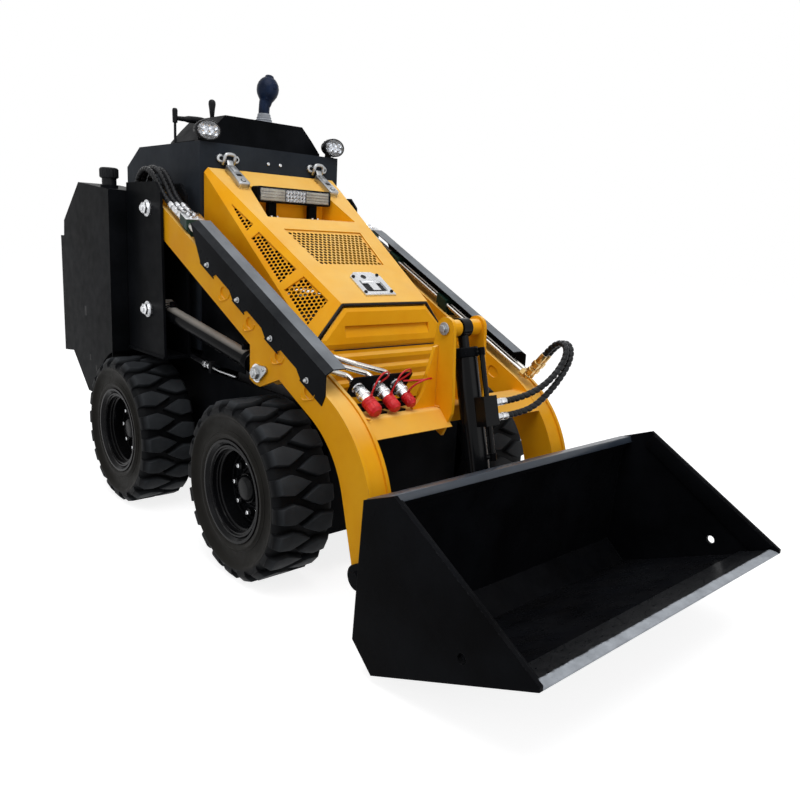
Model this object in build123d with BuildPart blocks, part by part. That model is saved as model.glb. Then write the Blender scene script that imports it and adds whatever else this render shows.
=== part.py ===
"""Stand-on skid steer loader, built as separate pieces.

Millimetres.  The machine faces -Y, +X is its left-hand side and +Z is up.
The origin is on the ground under the middle of the whole machine.
A "station" is a distance behind the front axle, measured along +Y.
"""
from build123d import *
from math import atan2, cos, degrees, hypot, pi, radians, sin, sqrt, tan
import os

os.makedirs("parts", exist_ok=True)

# ---------------------------------------------------------------- driving sizes
front_axle_y = -168.0
wheelbase = 900.0
pin_clearance = 0.05
seat_gap = 0.3
side_gap = 5.0
plate = 10.0

# wheels
tyre_d = 592.0
tyre_width = 218.0
wheel_centre_x = 465.0
bead_d = 336.0
lug_count = 20
lug_height = 22.0
lug_half_waist = 37.0
lug_half_shoulder = 31.0
lug_waist_x = 52.0
lug_reach = 20.0
shoulder_half = 97.0
shoulder_drop = 18.0
side_ridge_r = 250.0
side_dish_depth = 8.0
rim_flange_d = 348.0
rim_dish_d = 254.0
rim_dish_depth = 88.0
rim_wall = 8.0
wheel_bolt_circle_d = 170.0
wheel_bolt_count = 8
wheel_bolt_af = 24.0
hub_cap_d = 96.0
axle_tube_d = 120.0

# lower frame
frame_half_width = 300.0
frame_front_station = -160.0
frame_rear_station = 1290.0
frame_bottom_z = 140.0
frame_top_z = 560.0
frame_wall = 12.0
deck_z = 612.0

# lift arms
arm_inner_x = 370.0
arm_outer_x = 450.0
arm_pivot = (791.0, 1173.0)
arm_slope = 0.5
arm_top_at_front_axle = 828.0
arm_depth_z = 117.0
arm_nose_top_r = 394.0
arm_nose_under_r = 315.0
arm_tip = (-525.0, 175.0)
arm_tip_r = 38.0
arm_heel_r = 72.0
arm_skin = 12.0
arm_lip = 7.0
arm_pocket_stations = (248.0, 81.0, -90.0, -252.0)
arm_pocket_drop = 50.0
arm_pocket_size = (50.0, 36.0)
arm_pocket_depth = 5.0
lug_pin = (27.0, 667.0)
pin_d = 36.0
pivot_pin_d = 45.0

# towers that carry the arms
tower_front_station = 690.0
tower_rear_station = 990.0
tower_top_z = 1270.0
lift_base = (799.0, 792.0)

# tilt linkage
clevis_pin = (-430.0, 850.0)
clevis_outer_x = 75.0
clevis_plate = 12.0
tilt_foot = (-558.0, 338.0)

# hood
hood_front_station = -66.0
hood_rear_station = 653.0
dash_front_station = hood_rear_station + 5.0
hood_half_width = 307.0
hood_skin = 5.0
hood_bottom_z = 760.0
hood_front_z = 894.0
hood_rear_z = 1334.0
hood_nose_half_width = 196.5
hood_shoulder_front_z = 766.0
hood_shoulder_rear_z = 1316.0
hood_hinge = (-58.0, 752.0)
hood_hinge_pin_r = 9.0
hood_hinge_eye_r = 16.0
hood_hinge_x = 288.0

# control tower
dash_half_width = 321.0
dash_top_z = 1427.0
dash_rear_station = 1186.0
dash_slope_station = 1315.0
dash_slope_z = 1351.0
dash_skin = 6.0

# side tanks
tank_outer_x = 530.0
tank_inner_x = 352.0
tank_front_station = 1005.0
filler_seat_z = 1258.0

# bucket
bucket_half_width = 588.0
bucket_plate = 8.0
cheek_plate = 12.0
bucket_heel_r = 30.0
edge_plate = 16.0
edge_depth = 120.0

# operator's platform
platform_half_width = 283.0
platform_ear_x = 288.0
platform_ear_r = 24.0
platform_bar_r = 11.0
platform_hinge_station = 1312.0
platform_rear_station = 1590.0
platform_z = 262.0
platform_plate = 8.0

platform_hinge = (platform_hinge_station, platform_z - 12.0)

# engine
engine_half_width = 210.0
engine_front_station = 90.0
engine_rear_station = 560.0
engine_bottom_z = 300.0
engine_top_z = 800.0
engine_bearer_stations = (160.0, 480.0)

rear_axle_station = wheelbase
axle_z = tyre_d / 2


# ---------------------------------------------------------------- helpers
def at(station):
    """Y of a station behind the front axle."""
    return front_axle_y + station


def yz(point):
    """A (station, z) pair as (Y, Z)."""
    return (at(point[0]), point[1])


def prism_x(points, x0, x1, mode=Mode.ADD):
    """A straight-sided outline of (station, z) points, extruded from x0 to x1."""
    with BuildSketch(Plane.YZ.offset(x0)) as profile:
        with BuildLine():
            Polyline(*[yz(p) for p in points], close=True)
        make_face()
    extrude(profile.sketch, amount=x1 - x0, mode=mode)


def disc_x(point, radius, x0, x1, mode=Mode.ADD):
    """A round bar along X, centred on a (station, z) point."""
    with BuildSketch(Plane.YZ.offset(x0)) as profile:
        with Locations(yz(point)):
            Circle(radius)
    extrude(profile.sketch, amount=x1 - x0, mode=mode)


def block(x0, x1, y0, y1, z0, z1, mode=Mode.ADD):
    """An axis-aligned block between two corners, y as plain Y."""
    with Locations(((x0 + x1) / 2, (y0 + y1) / 2, (z0 + z1) / 2)):
        Box(abs(x1 - x0), abs(y1 - y0), abs(z1 - z0), mode=mode)


def bar(start, end, radius, mode=Mode.ADD):
    """A round bar from one point to another."""
    direction = Vector(*end) - Vector(*start)
    with BuildSketch(Plane(origin=start, z_dir=direction)) as profile:
        Circle(radius)
    extrude(profile.sketch, amount=direction.length, mode=mode)


def bend_radii(points, share):
    """The arc at each inner point: a share of the shorter run over the half turn's tangent."""
    radii = []
    for before, here, after in zip(points[:-2], points[1:-1], points[2:]):
        run_in = Vector(*here) - Vector(*before)
        run_out = Vector(*after) - Vector(*here)
        turn = radians(run_in.get_angle(run_out))
        radii.append(share * min(run_in.length, run_out.length) / tan(turn / 2))
    return radii


def bent_tube(points, radius, share=0.45, largest=None):
    """A round tube along straight runs joined by tangent arcs."""
    radii = bend_radii(points, share)
    if largest is not None:
        radii = [min(r, largest) for r in radii]
    with BuildLine() as route:
        FilletPolyline(*points, radius=radii)
    with BuildSketch(Plane(origin=points[0], z_dir=Vector(*points[1]) - Vector(*points[0]))) as section:
        Circle(radius)
    sweep(section.sketch, path=route.wire())
    return radii


def thick_path(points, thickness):
    """A closed outline: a path and its parallel on the left-hand side, mitred."""
    vectors = [Vector(*p) for p in points]
    parallel = []
    for index, point in enumerate(vectors):
        normals = []
        for a, b in ((index - 1, index), (index, index + 1)):
            if a >= 0 and b < len(vectors):
                run = (vectors[b] - vectors[a]).normalized()
                normals.append(Vector(-run.Y, run.X))
        mitre = sum(normals, Vector(0, 0)).normalized()
        parallel.append(point + mitre * (thickness / mitre.dot(normals[0])))
    return [(p.X, p.Y) for p in vectors] + [(p.X, p.Y) for p in reversed(parallel)]


def save(builder, name):
    """Label a finished piece and write its STEP file."""
    builder.part.label = name
    export_step(builder.part, f"parts/{name}.step")


# ---------------------------------------------------------------- wheels
tyre_half = tyre_width / 2
tyre_r = tyre_d / 2
bead_r = bead_d / 2
lug_pitch = 360 / lug_count
# each lug's flat top reaches the tyre's outer circle at its corners
lug_top_r = sqrt(tyre_r ** 2 - lug_half_waist ** 2)
carcass_r = lug_top_r - lug_height


def tread_lug(half):
    """One lug at the top of the wheel, on one half of the tread."""
    with BuildPart() as lug:
        with BuildSketch(Plane.XY.offset(side_ridge_r)):
            with BuildLine():
                Polyline((half * tyre_half, -lug_half_shoulder), (half * lug_waist_x, -lug_half_waist),
                         (-half * lug_reach, 0), (half * lug_waist_x, lug_half_waist),
                         (half * tyre_half, lug_half_shoulder), close=True)
            make_face()
        extrude(amount=lug_top_r - side_ridge_r)
        crest = lug.edges().filter_by(Axis.Y).sort_by(Axis.Z)[-1]
        chamfer(crest, length=shoulder_drop, length2=tyre_half - shoulder_half)
    return lug.part


def wheel_polygon(apothem, x, depth, mode=Mode.ADD):
    """A many-sided prism about the wheel's axle, from x inward by a depth."""
    with BuildSketch(Plane(origin=(x, 0, 0), x_dir=(0, 1, 0), z_dir=(1, 0, 0))) as ring:
        RegularPolygon(apothem, lug_count, major_radius=False, rotation=lug_pitch / 2)
    extrude(ring.sketch, amount=depth, mode=mode)


near_lug = tread_lug(-1)
far_lug = tread_lug(1)
all_lugs = [near_lug.rotate(Axis.X, n * lug_pitch) for n in range(lug_count)]
all_lugs += [far_lug.rotate(Axis.X, (n + 0.5) * lug_pitch) for n in range(lug_count)]
with BuildPart() as tyre_form:
    wheel_polygon(carcass_r, -tyre_half, tyre_width)
    add(all_lugs)
    for half in (-1, 1):
        wheel_polygon(side_ridge_r - 10, half * tyre_half, -half * side_dish_depth, mode=Mode.SUBTRACT)
    wheel_polygon(bead_r, -tyre_half - 1, tyre_width + 2, mode=Mode.SUBTRACT)

corners = [(name, side, station)
           for name, station in (("front", 0.0), ("rear", rear_axle_station))
           for side in (-1, 1)]

for end_name, side, station in corners:
    side_name = "right" if side < 0 else "left"
    wheel_plane = Plane(origin=(side * wheel_centre_x, at(station), axle_z))
    wheel_axis = Axis(wheel_plane.origin, (1, 0, 0))

    with BuildPart() as tyre:
        with Locations(wheel_plane.origin):
            add(tyre_form.part)
    save(tyre, f"tyre_{end_name}_{side_name}")

    flange_r = rim_flange_d / 2
    dish_r = rim_dish_d / 2
    face = tyre_half - 6
    disc = face - rim_dish_depth
    inner = -(tyre_half - 16)
    seat_r = bead_r - 0.3
    rim_outline = [
        (disc, hub_cap_d / 2 - 8),
        (disc, dish_r),
        (face - 40, dish_r),
        (face - 34, dish_r + 9),
        (face - 14, dish_r + 9),
        (face - 14, dish_r + 22),
        (face, flange_r - 14),
        (face, flange_r - 6),
        (face - 6, seat_r),
        (inner, seat_r),
        (inner, dish_r),
        (disc - rim_wall, dish_r),
        (disc - rim_wall, hub_cap_d / 2 - 8),
    ]
    with BuildPart() as rim:
        with BuildSketch(wheel_plane):
            with BuildLine():
                Polyline(*[(side * x, r) for x, r in rim_outline], close=True)
            make_face()
        revolve(axis=wheel_axis)
        hub_plane = Plane(origin=wheel_plane.origin + Vector(side * disc, 0, 0), z_dir=(side, 0, 0))
        with BuildSketch(hub_plane.offset(-rim_wall)):
            Circle(hub_cap_d / 2)
        extrude(amount=rim_wall + 26)
        with BuildSketch(hub_plane):
            with PolarLocations(wheel_bolt_circle_d / 2, wheel_bolt_count):
                RegularPolygon(wheel_bolt_af / 2, 6, major_radius=False)
        extrude(amount=18)
    save(rim, f"rim_{end_name}_{side_name}")

# ---------------------------------------------------------------- lower frame
disc_x_position = wheel_centre_x + tyre_half - 6 - rim_dish_depth - rim_wall

with BuildPart() as frame:
    block(-frame_half_width, frame_half_width, at(frame_front_station), at(frame_rear_station),
          frame_bottom_z, frame_top_z)
    block(-frame_half_width + frame_wall, frame_half_width - frame_wall,
          at(frame_front_station) + frame_wall, at(frame_rear_station) - frame_wall,
          frame_bottom_z + frame_wall, frame_top_z + 1, mode=Mode.SUBTRACT)
    for side in (-1, 1):
        block(side * frame_half_width, side * (frame_half_width - frame_wall),
              at(tower_front_station), at(tower_rear_station), frame_top_z, deck_z)
    # engine bearers
    for station in engine_bearer_stations:
        block(-frame_half_width + 1, frame_half_width - 1, at(station) - 25, at(station) + 25,
              engine_bottom_z - 50, engine_bottom_z)
    for side in (-1, 1):
        # posts and pins for the hood's front hinge
        post_x = hood_hinge_x - side_gap
        block(side * (post_x - 10), side * post_x, at(hood_hinge[0] - 14), at(hood_hinge[0] + 14),
              frame_top_z - 20, hood_hinge[1])
        disc_x(hood_hinge, 14, side * (post_x - 10), side * post_x)
        disc_x(hood_hinge, hood_hinge_pin_r - pin_clearance, side * (post_x - 1), side * (hood_hinge_x + 12))
        # foot of the post
        block(side * (post_x - 10), side * (frame_half_width - 1), at(hood_hinge[0] - 14),
              at(hood_hinge[0] + 14), frame_top_z - 20, frame_top_z)
        # ears for the platform's hinge bar
        block(side * platform_ear_x, side * frame_half_width, at(frame_rear_station) - 14,
              at(platform_hinge[0]), platform_hinge[1] - platform_ear_r, platform_hinge[1] + platform_ear_r)
        disc_x(platform_hinge, platform_ear_r, side * platform_ear_x, side * frame_half_width)
        disc_x(platform_hinge, platform_bar_r + pin_clearance, side * (platform_ear_x - 1),
               side * (frame_half_width + 1), mode=Mode.SUBTRACT)
save(frame, "frame")

axle_flange_r = axle_tube_d / 2 + 30
with BuildPart() as axles:
    for station in (0.0, rear_axle_station):
        for side in (-1, 1):
            disc_x((station, axle_z), axle_tube_d / 2, side * frame_half_width,
                   side * (disc_x_position - seat_gap))
            disc_x((station, axle_z), axle_flange_r, side * frame_half_width,
                   side * (frame_half_width + 26))
save(axles, "axles")

# ---------------------------------------------------------------- towers
tower_outer = arm_outer_x + side_gap + plate
tower_inner = arm_inner_x - side_gap - plate
tower_floor_z = deck_z + plate
hose_foot = (tower_rear_station - plate - 16.0, 1188.0)
tower_outline = [
    (tower_front_station - 20, tower_floor_z),
    (tower_front_station, tower_top_z - 40),
    (tower_front_station + 42, tower_top_z),
    (tower_rear_station, tower_top_z),
    (tower_rear_station, tower_floor_z),
]
with BuildPart() as towers:
    for side in (-1, 1):
        # deck plate that the tower stands on
        block(side * (frame_half_width - 60), side * (arm_outer_x + 20), at(tower_front_station) - 20,
              at(tower_rear_station), deck_z, tower_floor_z)
        prism_x(tower_outline, side * (tower_outer - plate), side * tower_outer)
        prism_x(tower_outline, side * tower_inner, side * (tower_inner + plate))
        block(side * tower_inner, side * tower_outer, at(tower_rear_station) - plate,
              at(tower_rear_station), tower_floor_z, tower_top_z - 90)
        # block on the back wall where the arm's hoses end
        block(side * tower_inner, side * tower_outer, at(hose_foot[0]) - 17, at(tower_rear_station) - plate + 1,
              hose_foot[1] - 40, hose_foot[1])
    for pin_point in (arm_pivot, lift_base):
        for side in (-1, 1):
            disc_x(pin_point, pivot_pin_d / 2, side * (tower_inner - 1), side * (tower_outer + 1),
                   mode=Mode.SUBTRACT)
save(towers, "towers")

with BuildPart() as tower_pins:
    for pin_point in (arm_pivot, lift_base):
        for side in (-1, 1):
            disc_x(pin_point, pivot_pin_d / 2 - pin_clearance, side * (tower_inner - 8),
                   side * (tower_outer + 8))
            disc_x(pin_point, 31, side * (tower_outer + 0.3), side * (tower_outer + 8))
            disc_x(pin_point, 17, side * (tower_outer + 8), side * (tower_outer + 24))
save(tower_pins, "tower_pins")


# ---------------------------------------------------------------- lift arms
def arm_top_z(station):
    return arm_top_at_front_axle + arm_slope * station


def arm_under_z(station):
    return arm_top_z(station) - arm_depth_z


slope_angle = atan2(arm_slope, 1.0)
arm_front_station = arm_tip[0] - arm_tip_r
nose_centre_station = arm_front_station + arm_nose_top_r
nose_start_station = nose_centre_station - arm_nose_top_r * sin(slope_angle)
nose_start_z = arm_top_z(nose_start_station)
nose_centre_z = nose_start_z - arm_nose_top_r * cos(slope_angle)
shin_angle = radians(74.0)
# the underside leaves its slope, turns through an arc and runs down to the tip's rear side
shin_dir = (-cos(shin_angle), -sin(shin_angle))
shin_normal = (sin(shin_angle), -cos(shin_angle))
tip_rear = (arm_tip[0] + arm_tip_r * shin_normal[0], arm_tip[1] + arm_tip_r * shin_normal[1])
# where the shin's line meets the underside's line
meet_t = (arm_under_z(tip_rear[0]) - tip_rear[1]) / (sin(shin_angle) - arm_slope * cos(shin_angle))
meet = (tip_rear[0] + meet_t * cos(shin_angle), tip_rear[1] + meet_t * sin(shin_angle))
under_turn = shin_angle - slope_angle
under_tangent = arm_nose_under_r * tan(under_turn / 2)
under_start = (meet[0] + under_tangent * cos(slope_angle), meet[1] + under_tangent * sin(slope_angle))
under_end = (meet[0] - under_tangent * cos(shin_angle), meet[1] - under_tangent * sin(shin_angle))
bisector = (slope_angle + shin_angle) / 2
arc_sagitta = arm_nose_under_r * (1 / cos(under_turn / 2) - 1)
under_mid = (meet[0] + arc_sagitta * sin(bisector), meet[1] - arc_sagitta * cos(bisector))
top_mid_angle = (slope_angle + radians(90)) / 2

lug_front = (-92.0, arm_under_z(-92.0))
lug_back = (79.0, arm_under_z(79.0))
lug_pocket_depth = 45.0
heel_top_station = arm_pivot[0] - 40


def arm_body_outline(lip=0.0):
    """The arm's side outline, heel to tip, with the top and nose set in by a lip."""
    heel_under = (arm_pivot[0] - 60, arm_under_z(arm_pivot[0] - 60))
    top_shift = lip / cos(slope_angle)
    heel_top = (heel_top_station, arm_top_z(heel_top_station) - top_shift)
    front = arm_front_station + lip
    top_r = arm_nose_top_r - lip
    crest = (nose_centre_station - top_r * sin(slope_angle), nose_centre_z + top_r * cos(slope_angle))
    brow = (nose_centre_station - top_r * sin(top_mid_angle), nose_centre_z + top_r * cos(top_mid_angle))
    Line(yz(heel_under), yz(under_start))
    ThreePointArc(yz(under_start), yz(under_mid), yz(under_end))
    Line(yz(under_end), yz(tip_rear))
    ThreePointArc(yz(tip_rear), yz((arm_tip[0], arm_tip[1] - arm_tip_r)),
                  yz((arm_front_station, arm_tip[1])))
    if lip:
        Line(yz((arm_front_station, arm_tip[1])), yz((front, arm_tip[1])))
    Line(yz((front, arm_tip[1])), yz((front, nose_centre_z)))
    ThreePointArc(yz((front, nose_centre_z)), yz(brow), yz(crest))
    Line(yz(crest), yz(heel_top))
    Line(yz(heel_top), yz(heel_under))


for side in (-1, 1):
    side_name = "right" if side < 0 else "left"
    with BuildPart() as arm:
        # two side plates, and between them the box with its top set in between the plates' lips
        for x0, x1, lip in ((arm_inner_x, arm_inner_x + arm_skin, 0.0),
                            (arm_inner_x + arm_skin, arm_outer_x - arm_skin, arm_lip),
                            (arm_outer_x - arm_skin, arm_outer_x, 0.0)):
            with BuildSketch(Plane.YZ.offset(side * x0)) as arm_side:
                with BuildLine():
                    arm_body_outline(lip)
                make_face()
            extrude(arm_side.sketch, amount=side * (x1 - x0))
        disc_x(arm_pivot, arm_heel_r, side * arm_inner_x, side * arm_outer_x)
        # cylinder lug: two plates under the arm with the rod's eye between them
        for x0, x1 in ((arm_inner_x, arm_inner_x + arm_skin), (arm_outer_x - arm_skin, arm_outer_x)):
            prism_x([lug_front, (lug_pin[0] - 10, lug_pin[1] - 44), (lug_pin[0] + 24, lug_pin[1] - 40),
                     (lug_pin[0] + 52, lug_pin[1] - 28), lug_back, (79.0, arm_under_z(79.0) + 30),
                     (-92.0, arm_under_z(-92.0) + 30)], side * x0, side * x1)
        # the arm's underside is open between the lug plates, so the rod's eye can swing
        prism_x([(lug_front[0] + 10, arm_under_z(lug_front[0] + 10) - 4),
                 (lug_front[0] + 10, arm_under_z(lug_front[0] + 10) + lug_pocket_depth),
                 (lug_back[0] + 60, arm_under_z(lug_back[0] + 60) + lug_pocket_depth),
                 (lug_back[0] + 60, arm_under_z(lug_back[0] + 60) - 4)],
                side * (arm_inner_x + arm_skin), side * (arm_outer_x - arm_skin), mode=Mode.SUBTRACT)
        disc_x(lug_pin, pin_d / 2, side * (arm_inner_x - 1), side * (arm_outer_x + 1), mode=Mode.SUBTRACT)
        disc_x(arm_pivot, pivot_pin_d / 2, side * (arm_inner_x - 1), side * (arm_outer_x + 1),
               mode=Mode.SUBTRACT)
        disc_x(arm_tip, pin_d / 2, side * (arm_inner_x - 1), side * (arm_outer_x + 1), mode=Mode.SUBTRACT)
        # pressed pockets along both side plates
        for x in (arm_inner_x, arm_outer_x - arm_pocket_depth):
            with BuildSketch(Plane.YZ.offset(side * x)) as pockets:
                for station in arm_pocket_stations:
                    with Locations(yz((station, arm_top_z(station) - arm_pocket_drop))):
                        SlotOverall(arm_pocket_size[0], arm_pocket_size[1], rotation=degrees(slope_angle))
            extrude(pockets.sketch, amount=side * arm_pocket_depth, mode=Mode.SUBTRACT)
    save(arm, f"arm_{side_name}")


# ---------------------------------------------------------------- cross member and clevis
def nose_station_at(z):
    """Station of the arm's front edge at a height on its nose arc."""
    return nose_centre_station - sqrt(arm_nose_top_r ** 2 - (z - nose_centre_z) ** 2)


beam_top_z = 602.0
beam_foot_z = 550.0
beam_rear_station = -352.0
beam_nose_r = 20.0
gusset_station = -400.0
gusset_thick = 12.0
gusset_top_z = 796.0
gusset_foot_x = 170.0
beam_slot_station = -426.0
clevis_boss_inner_x = 23.0
clevis_boss_r = 26.0
clevis_eye_r = 36.0

with BuildPart() as cross_member:
    foot = (nose_station_at(beam_foot_z), beam_foot_z)
    prism_x([(beam_rear_station, beam_top_z), (nose_station_at(beam_top_z), beam_top_z), foot,
             (foot[0] + 34, beam_foot_z - 4), (beam_rear_station, beam_top_z - 34)],
            -arm_inner_x, arm_inner_x)
    brow = cross_member.edges().filter_by(Axis.X).group_by(Axis.Z)[-1].sort_by(Axis.Y)[0]
    fillet(brow, beam_nose_r)
    # the beam is notched between the clevis plates to clear the tilt cylinder
    block(-(clevis_outer_x - clevis_plate), clevis_outer_x - clevis_plate,
          at(beam_slot_station), at(beam_slot_station) - 80, 500, 620, mode=Mode.SUBTRACT)
    for side in (-1, 1):
        inner = clevis_outer_x - clevis_plate
        prism_x([(clevis_pin[0] - clevis_eye_r, clevis_pin[1]),
                 (clevis_pin[0] - clevis_eye_r - 14, 630), (clevis_pin[0] - clevis_eye_r - 12, 590),
                 (clevis_pin[0] - 10, 515), (-390, 540), (-300, 575), (-330, 650),
                 (-372, 740), (clevis_pin[0] + clevis_eye_r, clevis_pin[1])],
                side * inner, side * clevis_outer_x)
        disc_x(clevis_pin, clevis_eye_r, side * inner, side * clevis_outer_x)
        disc_x(clevis_pin, clevis_boss_r, side * clevis_boss_inner_x, side * inner)
        disc_x(clevis_pin, pin_d / 2, side * (clevis_boss_inner_x - 1), side * (clevis_outer_x + 1),
               mode=Mode.SUBTRACT)
        # gusset that flares from the clevis plate down to the beam
        with BuildSketch(Plane.XZ.offset(-at(gusset_station))) as gusset:
            with BuildLine():
                flare = [(side * (clevis_outer_x - 1), gusset_top_z), (side * (clevis_outer_x + 14), gusset_top_z - 6),
                         (side * (clevis_outer_x + 42), gusset_top_z - 90)]
                foot_in = (side * (clevis_outer_x - 1), beam_top_z - 6)
                foot_out = (side * gusset_foot_x, beam_top_z - 6)
                foot_top = (side * gusset_foot_x, beam_top_z + 6)
                Polyline(*flare)
                ThreePointArc(flare[-1], (side * (clevis_outer_x + 54), beam_top_z + 52), foot_top)
                Polyline(foot_top, foot_out, foot_in, flare[0])
            make_face()
        extrude(gusset.sketch, amount=gusset_thick / 2, both=True)
save(cross_member, "cross_member")

with BuildPart() as arm_pins:
    for side in (-1, 1):
        # the pin's middle is left out where the rod's eye sits
        disc_x(lug_pin, pin_d / 2 - pin_clearance, side * (arm_outer_x - arm_skin), side * (arm_outer_x + 6))
        disc_x(lug_pin, 30, side * (arm_outer_x + 0.3), side * (arm_outer_x + 8))
        disc_x(lug_pin, 15, side * (arm_outer_x + 8), side * (arm_outer_x + 20))
        disc_x(lug_pin, pin_d / 2 - pin_clearance, side * (arm_inner_x - 10), side * (arm_inner_x + arm_skin))
        disc_x(clevis_pin, pin_d / 2 - pin_clearance, side * clevis_boss_inner_x, side * (clevis_outer_x + 4))
save(arm_pins, "arm_pins")

# ---------------------------------------------------------------- arm covers, tubes and couplers
cover_thick = 3.0
cover_rise = 74.5
cover_crease_x = 425.0
cover_crease_drop = 14.0
cover_inner_x = 379.0
cover_front_station = -335.0
cover_rear_station = 500.0
cover_outer_x = arm_outer_x + cover_thick
cover_bolt_stations = (355.0, 154.0, -46.0, -243.0)
cover_lobe_drop = 42.0
cover_edge_drop = 18.0
cover_lobe_half = 34.0

# the covers' section stands square to the arm, so vertical sizes shrink by its slope
cover_origin = Vector(0, at(cover_front_station), arm_top_z(cover_front_station))
cover_dir = Vector(0, cos(slope_angle), sin(slope_angle))
cover_length = (cover_rear_station - cover_front_station) / cos(slope_angle)
with BuildPart() as arm_covers:
    for side in (-1, 1):
        top = cover_rise * cos(slope_angle)
        crease = top - cover_crease_drop * cos(slope_angle)
        low = -cover_lobe_drop * cos(slope_angle)
        section = [(side * cover_inner_x, top), (side * cover_crease_x, top), (side * cover_outer_x, crease),
                   (side * cover_outer_x, low)]
        cover_plane = Plane(origin=cover_origin, x_dir=(1, 0, 0), z_dir=-cover_dir)
        with BuildSketch(cover_plane) as cover_section:
            with BuildLine():
                Polyline(*thick_path(section, -side * cover_thick), close=True)
            make_face()
        extrude(cover_section.sketch, amount=-cover_length)
        # the lower edge is cut back between the bolts
        x0 = side * (arm_outer_x - 1)
        x1 = side * (cover_outer_x + 1)
        for front, rear in zip(cover_bolt_stations[1:], cover_bolt_stations[:-1]):
            edge = [(front + cover_lobe_half + 12, -cover_lobe_drop - 9), (front + cover_lobe_half, -cover_lobe_drop + 6),
                    (front + cover_lobe_half + 22, -cover_edge_drop), (rear - cover_lobe_half - 22, -cover_edge_drop),
                    (rear - cover_lobe_half, -cover_lobe_drop + 6), (rear - cover_lobe_half - 12, -cover_lobe_drop - 9)]
            edge = [(st, arm_top_z(st) + drop) for st, drop in edge]
            prism_x(edge, x0, x1, mode=Mode.SUBTRACT)
        # the rear end slants down and the front end stands upright
        prism_x([(cover_rear_station + 60, 900), (409, 980), (409, 999), (cover_rear_station - 4, 1160),
                 (cover_rear_station + 60, 1240)], side * (cover_inner_x - 2), x1, mode=Mode.SUBTRACT)
        prism_x([(cover_front_station, 560), (cover_front_station, 800), (cover_front_station - 60, 800),
                 (cover_front_station - 60, 560)], side * (cover_inner_x - 2), x1, mode=Mode.SUBTRACT)
save(arm_covers, "arm_covers")

tube_r = 8.0
tube_lift = 30.0
tube_xs = (388.0, 412.0, 436.0)
tube_rear_station = 571.0
fitting_end_station = 668.0
coupler_tilt = radians(31.0)
coupler_plate_centre = (-249.0, at(-340.0), 676.0)
coupler_plate_size = (234.0, 72.0, 6.0)
coupler_plate_deep_end = 92.0
coupler_xs = (-340.0, -262.0, -190.0)
coupler_r = 17.0
coupler_length = 66.0
cap_rs = (22.0, 20.0, 18.0)
cap_ends = (108.0, 104.0, 96.0)

face_normal = (0, -cos(coupler_tilt), -sin(coupler_tilt))
coupler_plane = Plane(origin=coupler_plate_centre, x_dir=(1, 0, 0), z_dir=face_normal)
with BuildPart() as coupler_plate:
    with BuildSketch(coupler_plane) as plate_face:
        half_width = coupler_plate_size[0] / 2
        half_height = coupler_plate_size[1] / 2
        with BuildLine():
            Polyline((-half_width, -half_height), (-half_width, half_height), (half_width, half_height),
                     (half_width, half_height - coupler_plate_deep_end),
                     (half_width - 70, half_height - coupler_plate_deep_end), close=True)
        make_face()
        fillet(plate_face.vertices(), 7)
    extrude(amount=-coupler_plate_size[2])
    # two stays down to the cross member's top, between the couplers
    stay_foot_z = beam_top_z + seat_gap
    for stay_x in ((coupler_xs[0] + coupler_xs[1]) / 2, (coupler_xs[1] + coupler_xs[2]) / 2):
        prism_x([(-320, 650), (-333, 668), (-396, stay_foot_z), (-358, stay_foot_z)], stay_x - 5, stay_x + 5)
        block(stay_x - 14, stay_x + 28, at(-404), at(-358), stay_foot_z, stay_foot_z + 6)
save(coupler_plate, "coupler_plate")


def on_coupler_plate(x, forward):
    """A point on a coupler's axis, a distance forward of the plate's face."""
    return Vector(x, coupler_plate_centre[1], coupler_plate_centre[2]) + Vector(*face_normal) * forward


with BuildPart() as couplers:
    for x in coupler_xs:
        bar(on_coupler_plate(x, 0), on_coupler_plate(x, coupler_length), coupler_r)
        bar(on_coupler_plate(x, 26), on_coupler_plate(x, 44), coupler_r + 3)
        bar(on_coupler_plate(x, -24), on_coupler_plate(x, -6), 13)
save(couplers, "couplers")

with BuildPart() as coupler_caps:
    for x, cap_r, cap_end in zip(coupler_xs, cap_rs, cap_ends):
        bar(on_coupler_plate(x, coupler_length), on_coupler_plate(x, cap_end), cap_r)
        bar(on_coupler_plate(x, cap_end), on_coupler_plate(x, cap_end + 6), cap_r - 6)
save(coupler_caps, "coupler_caps")



def on_arm(x, station, lift=tube_lift):
    """A point above an arm's top line."""
    return (x, at(station), arm_top_z(station) + lift)


# the lines to the couplers leave the arm, cross over its lip and drop into the couplers' backs
coupler_lines = []
for x, coupler_x, leave, sweep_out in ((-tube_xs[2], coupler_xs[0], -225.0, (-400.0, -268.0, 722.0)),
                                       (-tube_xs[1], coupler_xs[1], -212.0, (-345.0, -262.0, 728.0)),
                                       (-tube_xs[0], coupler_xs[2], -186.0, (-285.0, -262.0, 730.0))):
    back = on_coupler_plate(coupler_x, -24)
    lead = on_coupler_plate(coupler_x, -52)
    coupler_lines.append([on_arm(x, tube_rear_station), on_arm(x, leave),
                          (sweep_out[0], at(sweep_out[1]), sweep_out[2]),
                          (lead.X, lead.Y, lead.Z), (back.X, back.Y, back.Z)])
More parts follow.
